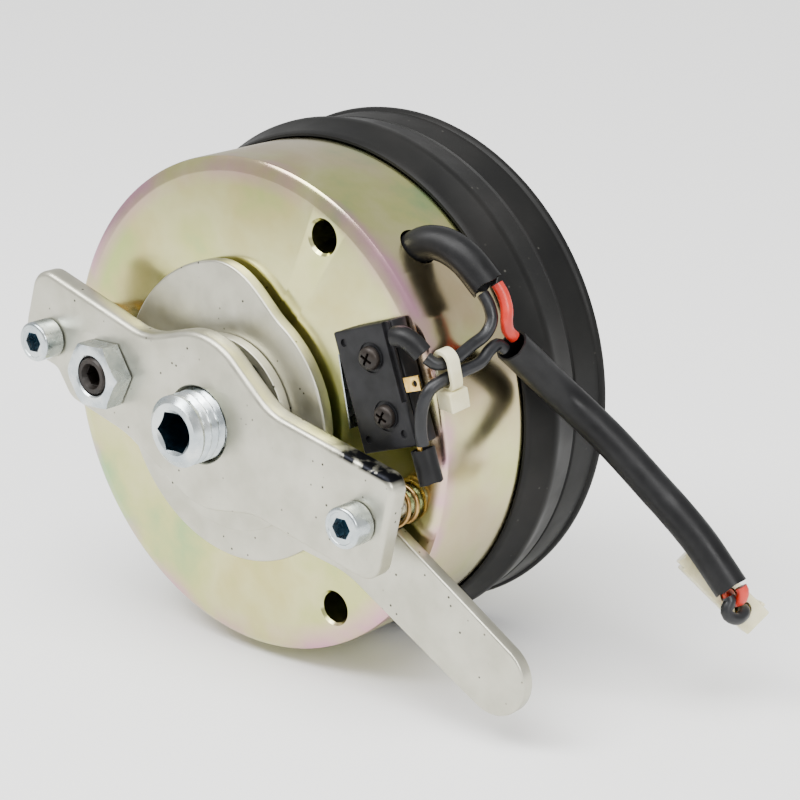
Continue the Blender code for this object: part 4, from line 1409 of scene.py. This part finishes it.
@dataclass
class Studio:
    """Floor, soft lights and the camera."""

    floor_z: float = -0.0559
    eye: Point = (0.32245, -0.37753, 0.13838)
    right: Point = (0.763, 0.646, -0.021)
    up: Point = (-0.17024, 0.23217, 0.95766)
    back: Point = (0.62335, -0.72732, 0.28714)
    lens: float = 104.2
    sun: float = 4.0
    surround: float = 0.9
    lamps: tuple[tuple[str, Point, float, float], ...] = (
        ("key", (-0.25, -0.55, 0.75), 0.5, 9.0),
        ("fill", (0.85, -0.35, 0.45), 0.4, 5.0),
    )

    def floor(self) -> None:
        """A plain pale floor."""
        deselect()
        bpy.ops.mesh.primitive_plane_add(size=8.0, location=(0.0, 0.0, self.floor_z))
        floor = bpy.context.object
        floor.name = "floor"
        material = bpy.data.materials.new("pale floor")
        material.use_nodes = True
        shader = material.node_tree.nodes["Principled BSDF"]
        shader.inputs["Base Color"].default_value = linear("#F2F2F1")
        shader.inputs["Roughness"].default_value = 0.75
        floor.data.materials.append(material)

    def lights(self) -> None:
        """Large soft lamps round the object and a pale surround."""
        for name, place, size, power in self.lamps:
            lamp = bpy.data.lights.new(name, "AREA")
            lamp.shape = "DISK"
            lamp.size = size
            lamp.energy = power
            obj = bpy.data.objects.new(name, lamp)
            aim = Vector((0.02, -0.03, 0.0)) - Vector(place)
            obj.location = place
            obj.rotation_euler = aim.to_track_quat("-Z", "Y").to_euler()
            bpy.context.scene.collection.objects.link(obj)
        sun = bpy.data.lights.new("sun", "SUN")
        sun.energy = self.sun
        sun.angle = math.radians(50.0)
        obj = bpy.data.objects.new("sun", sun)
        obj.rotation_euler = (math.radians(20.0), math.radians(12.0), 0.0)
        bpy.context.scene.collection.objects.link(obj)
        world = bpy.data.worlds.new("surround")
        world.use_nodes = True
        background = world.node_tree.nodes["Background"]
        background.inputs["Color"].default_value = linear("#FAFAFA")
        background.inputs["Strength"].default_value = self.surround
        bpy.context.scene.world = world

    def camera(self) -> None:
        """The camera, placed by its own axes."""
        data = bpy.data.cameras.new("camera")
        data.lens = self.lens
        data.sensor_width = 36.0
        data.clip_start = 0.01
        obj = bpy.data.objects.new("camera", data)
        turn = Matrix((self.right, self.up, self.back)).transposed().to_4x4()
        obj.matrix_world = Matrix.Translation(self.eye) @ turn
        bpy.context.scene.collection.objects.link(obj)
        bpy.context.scene.camera = obj

    def build(self) -> None:
        """Set up the whole studio."""
        self.floor()
        self.lights()
        self.camera()


def main() -> None:
    """Build every piece in the frame, then the studio."""
    logging.basicConfig(level=logging.INFO, format="%(message)s")
    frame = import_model()
    Inside().build(frame["nodes"])
    for assembly in (Magnet(), FrictionSide(), Lever(), Yoke(), Microswitch(), Leads()):
        assembly.build()
    Studio().build()


if __name__ == "__main__":
    main()
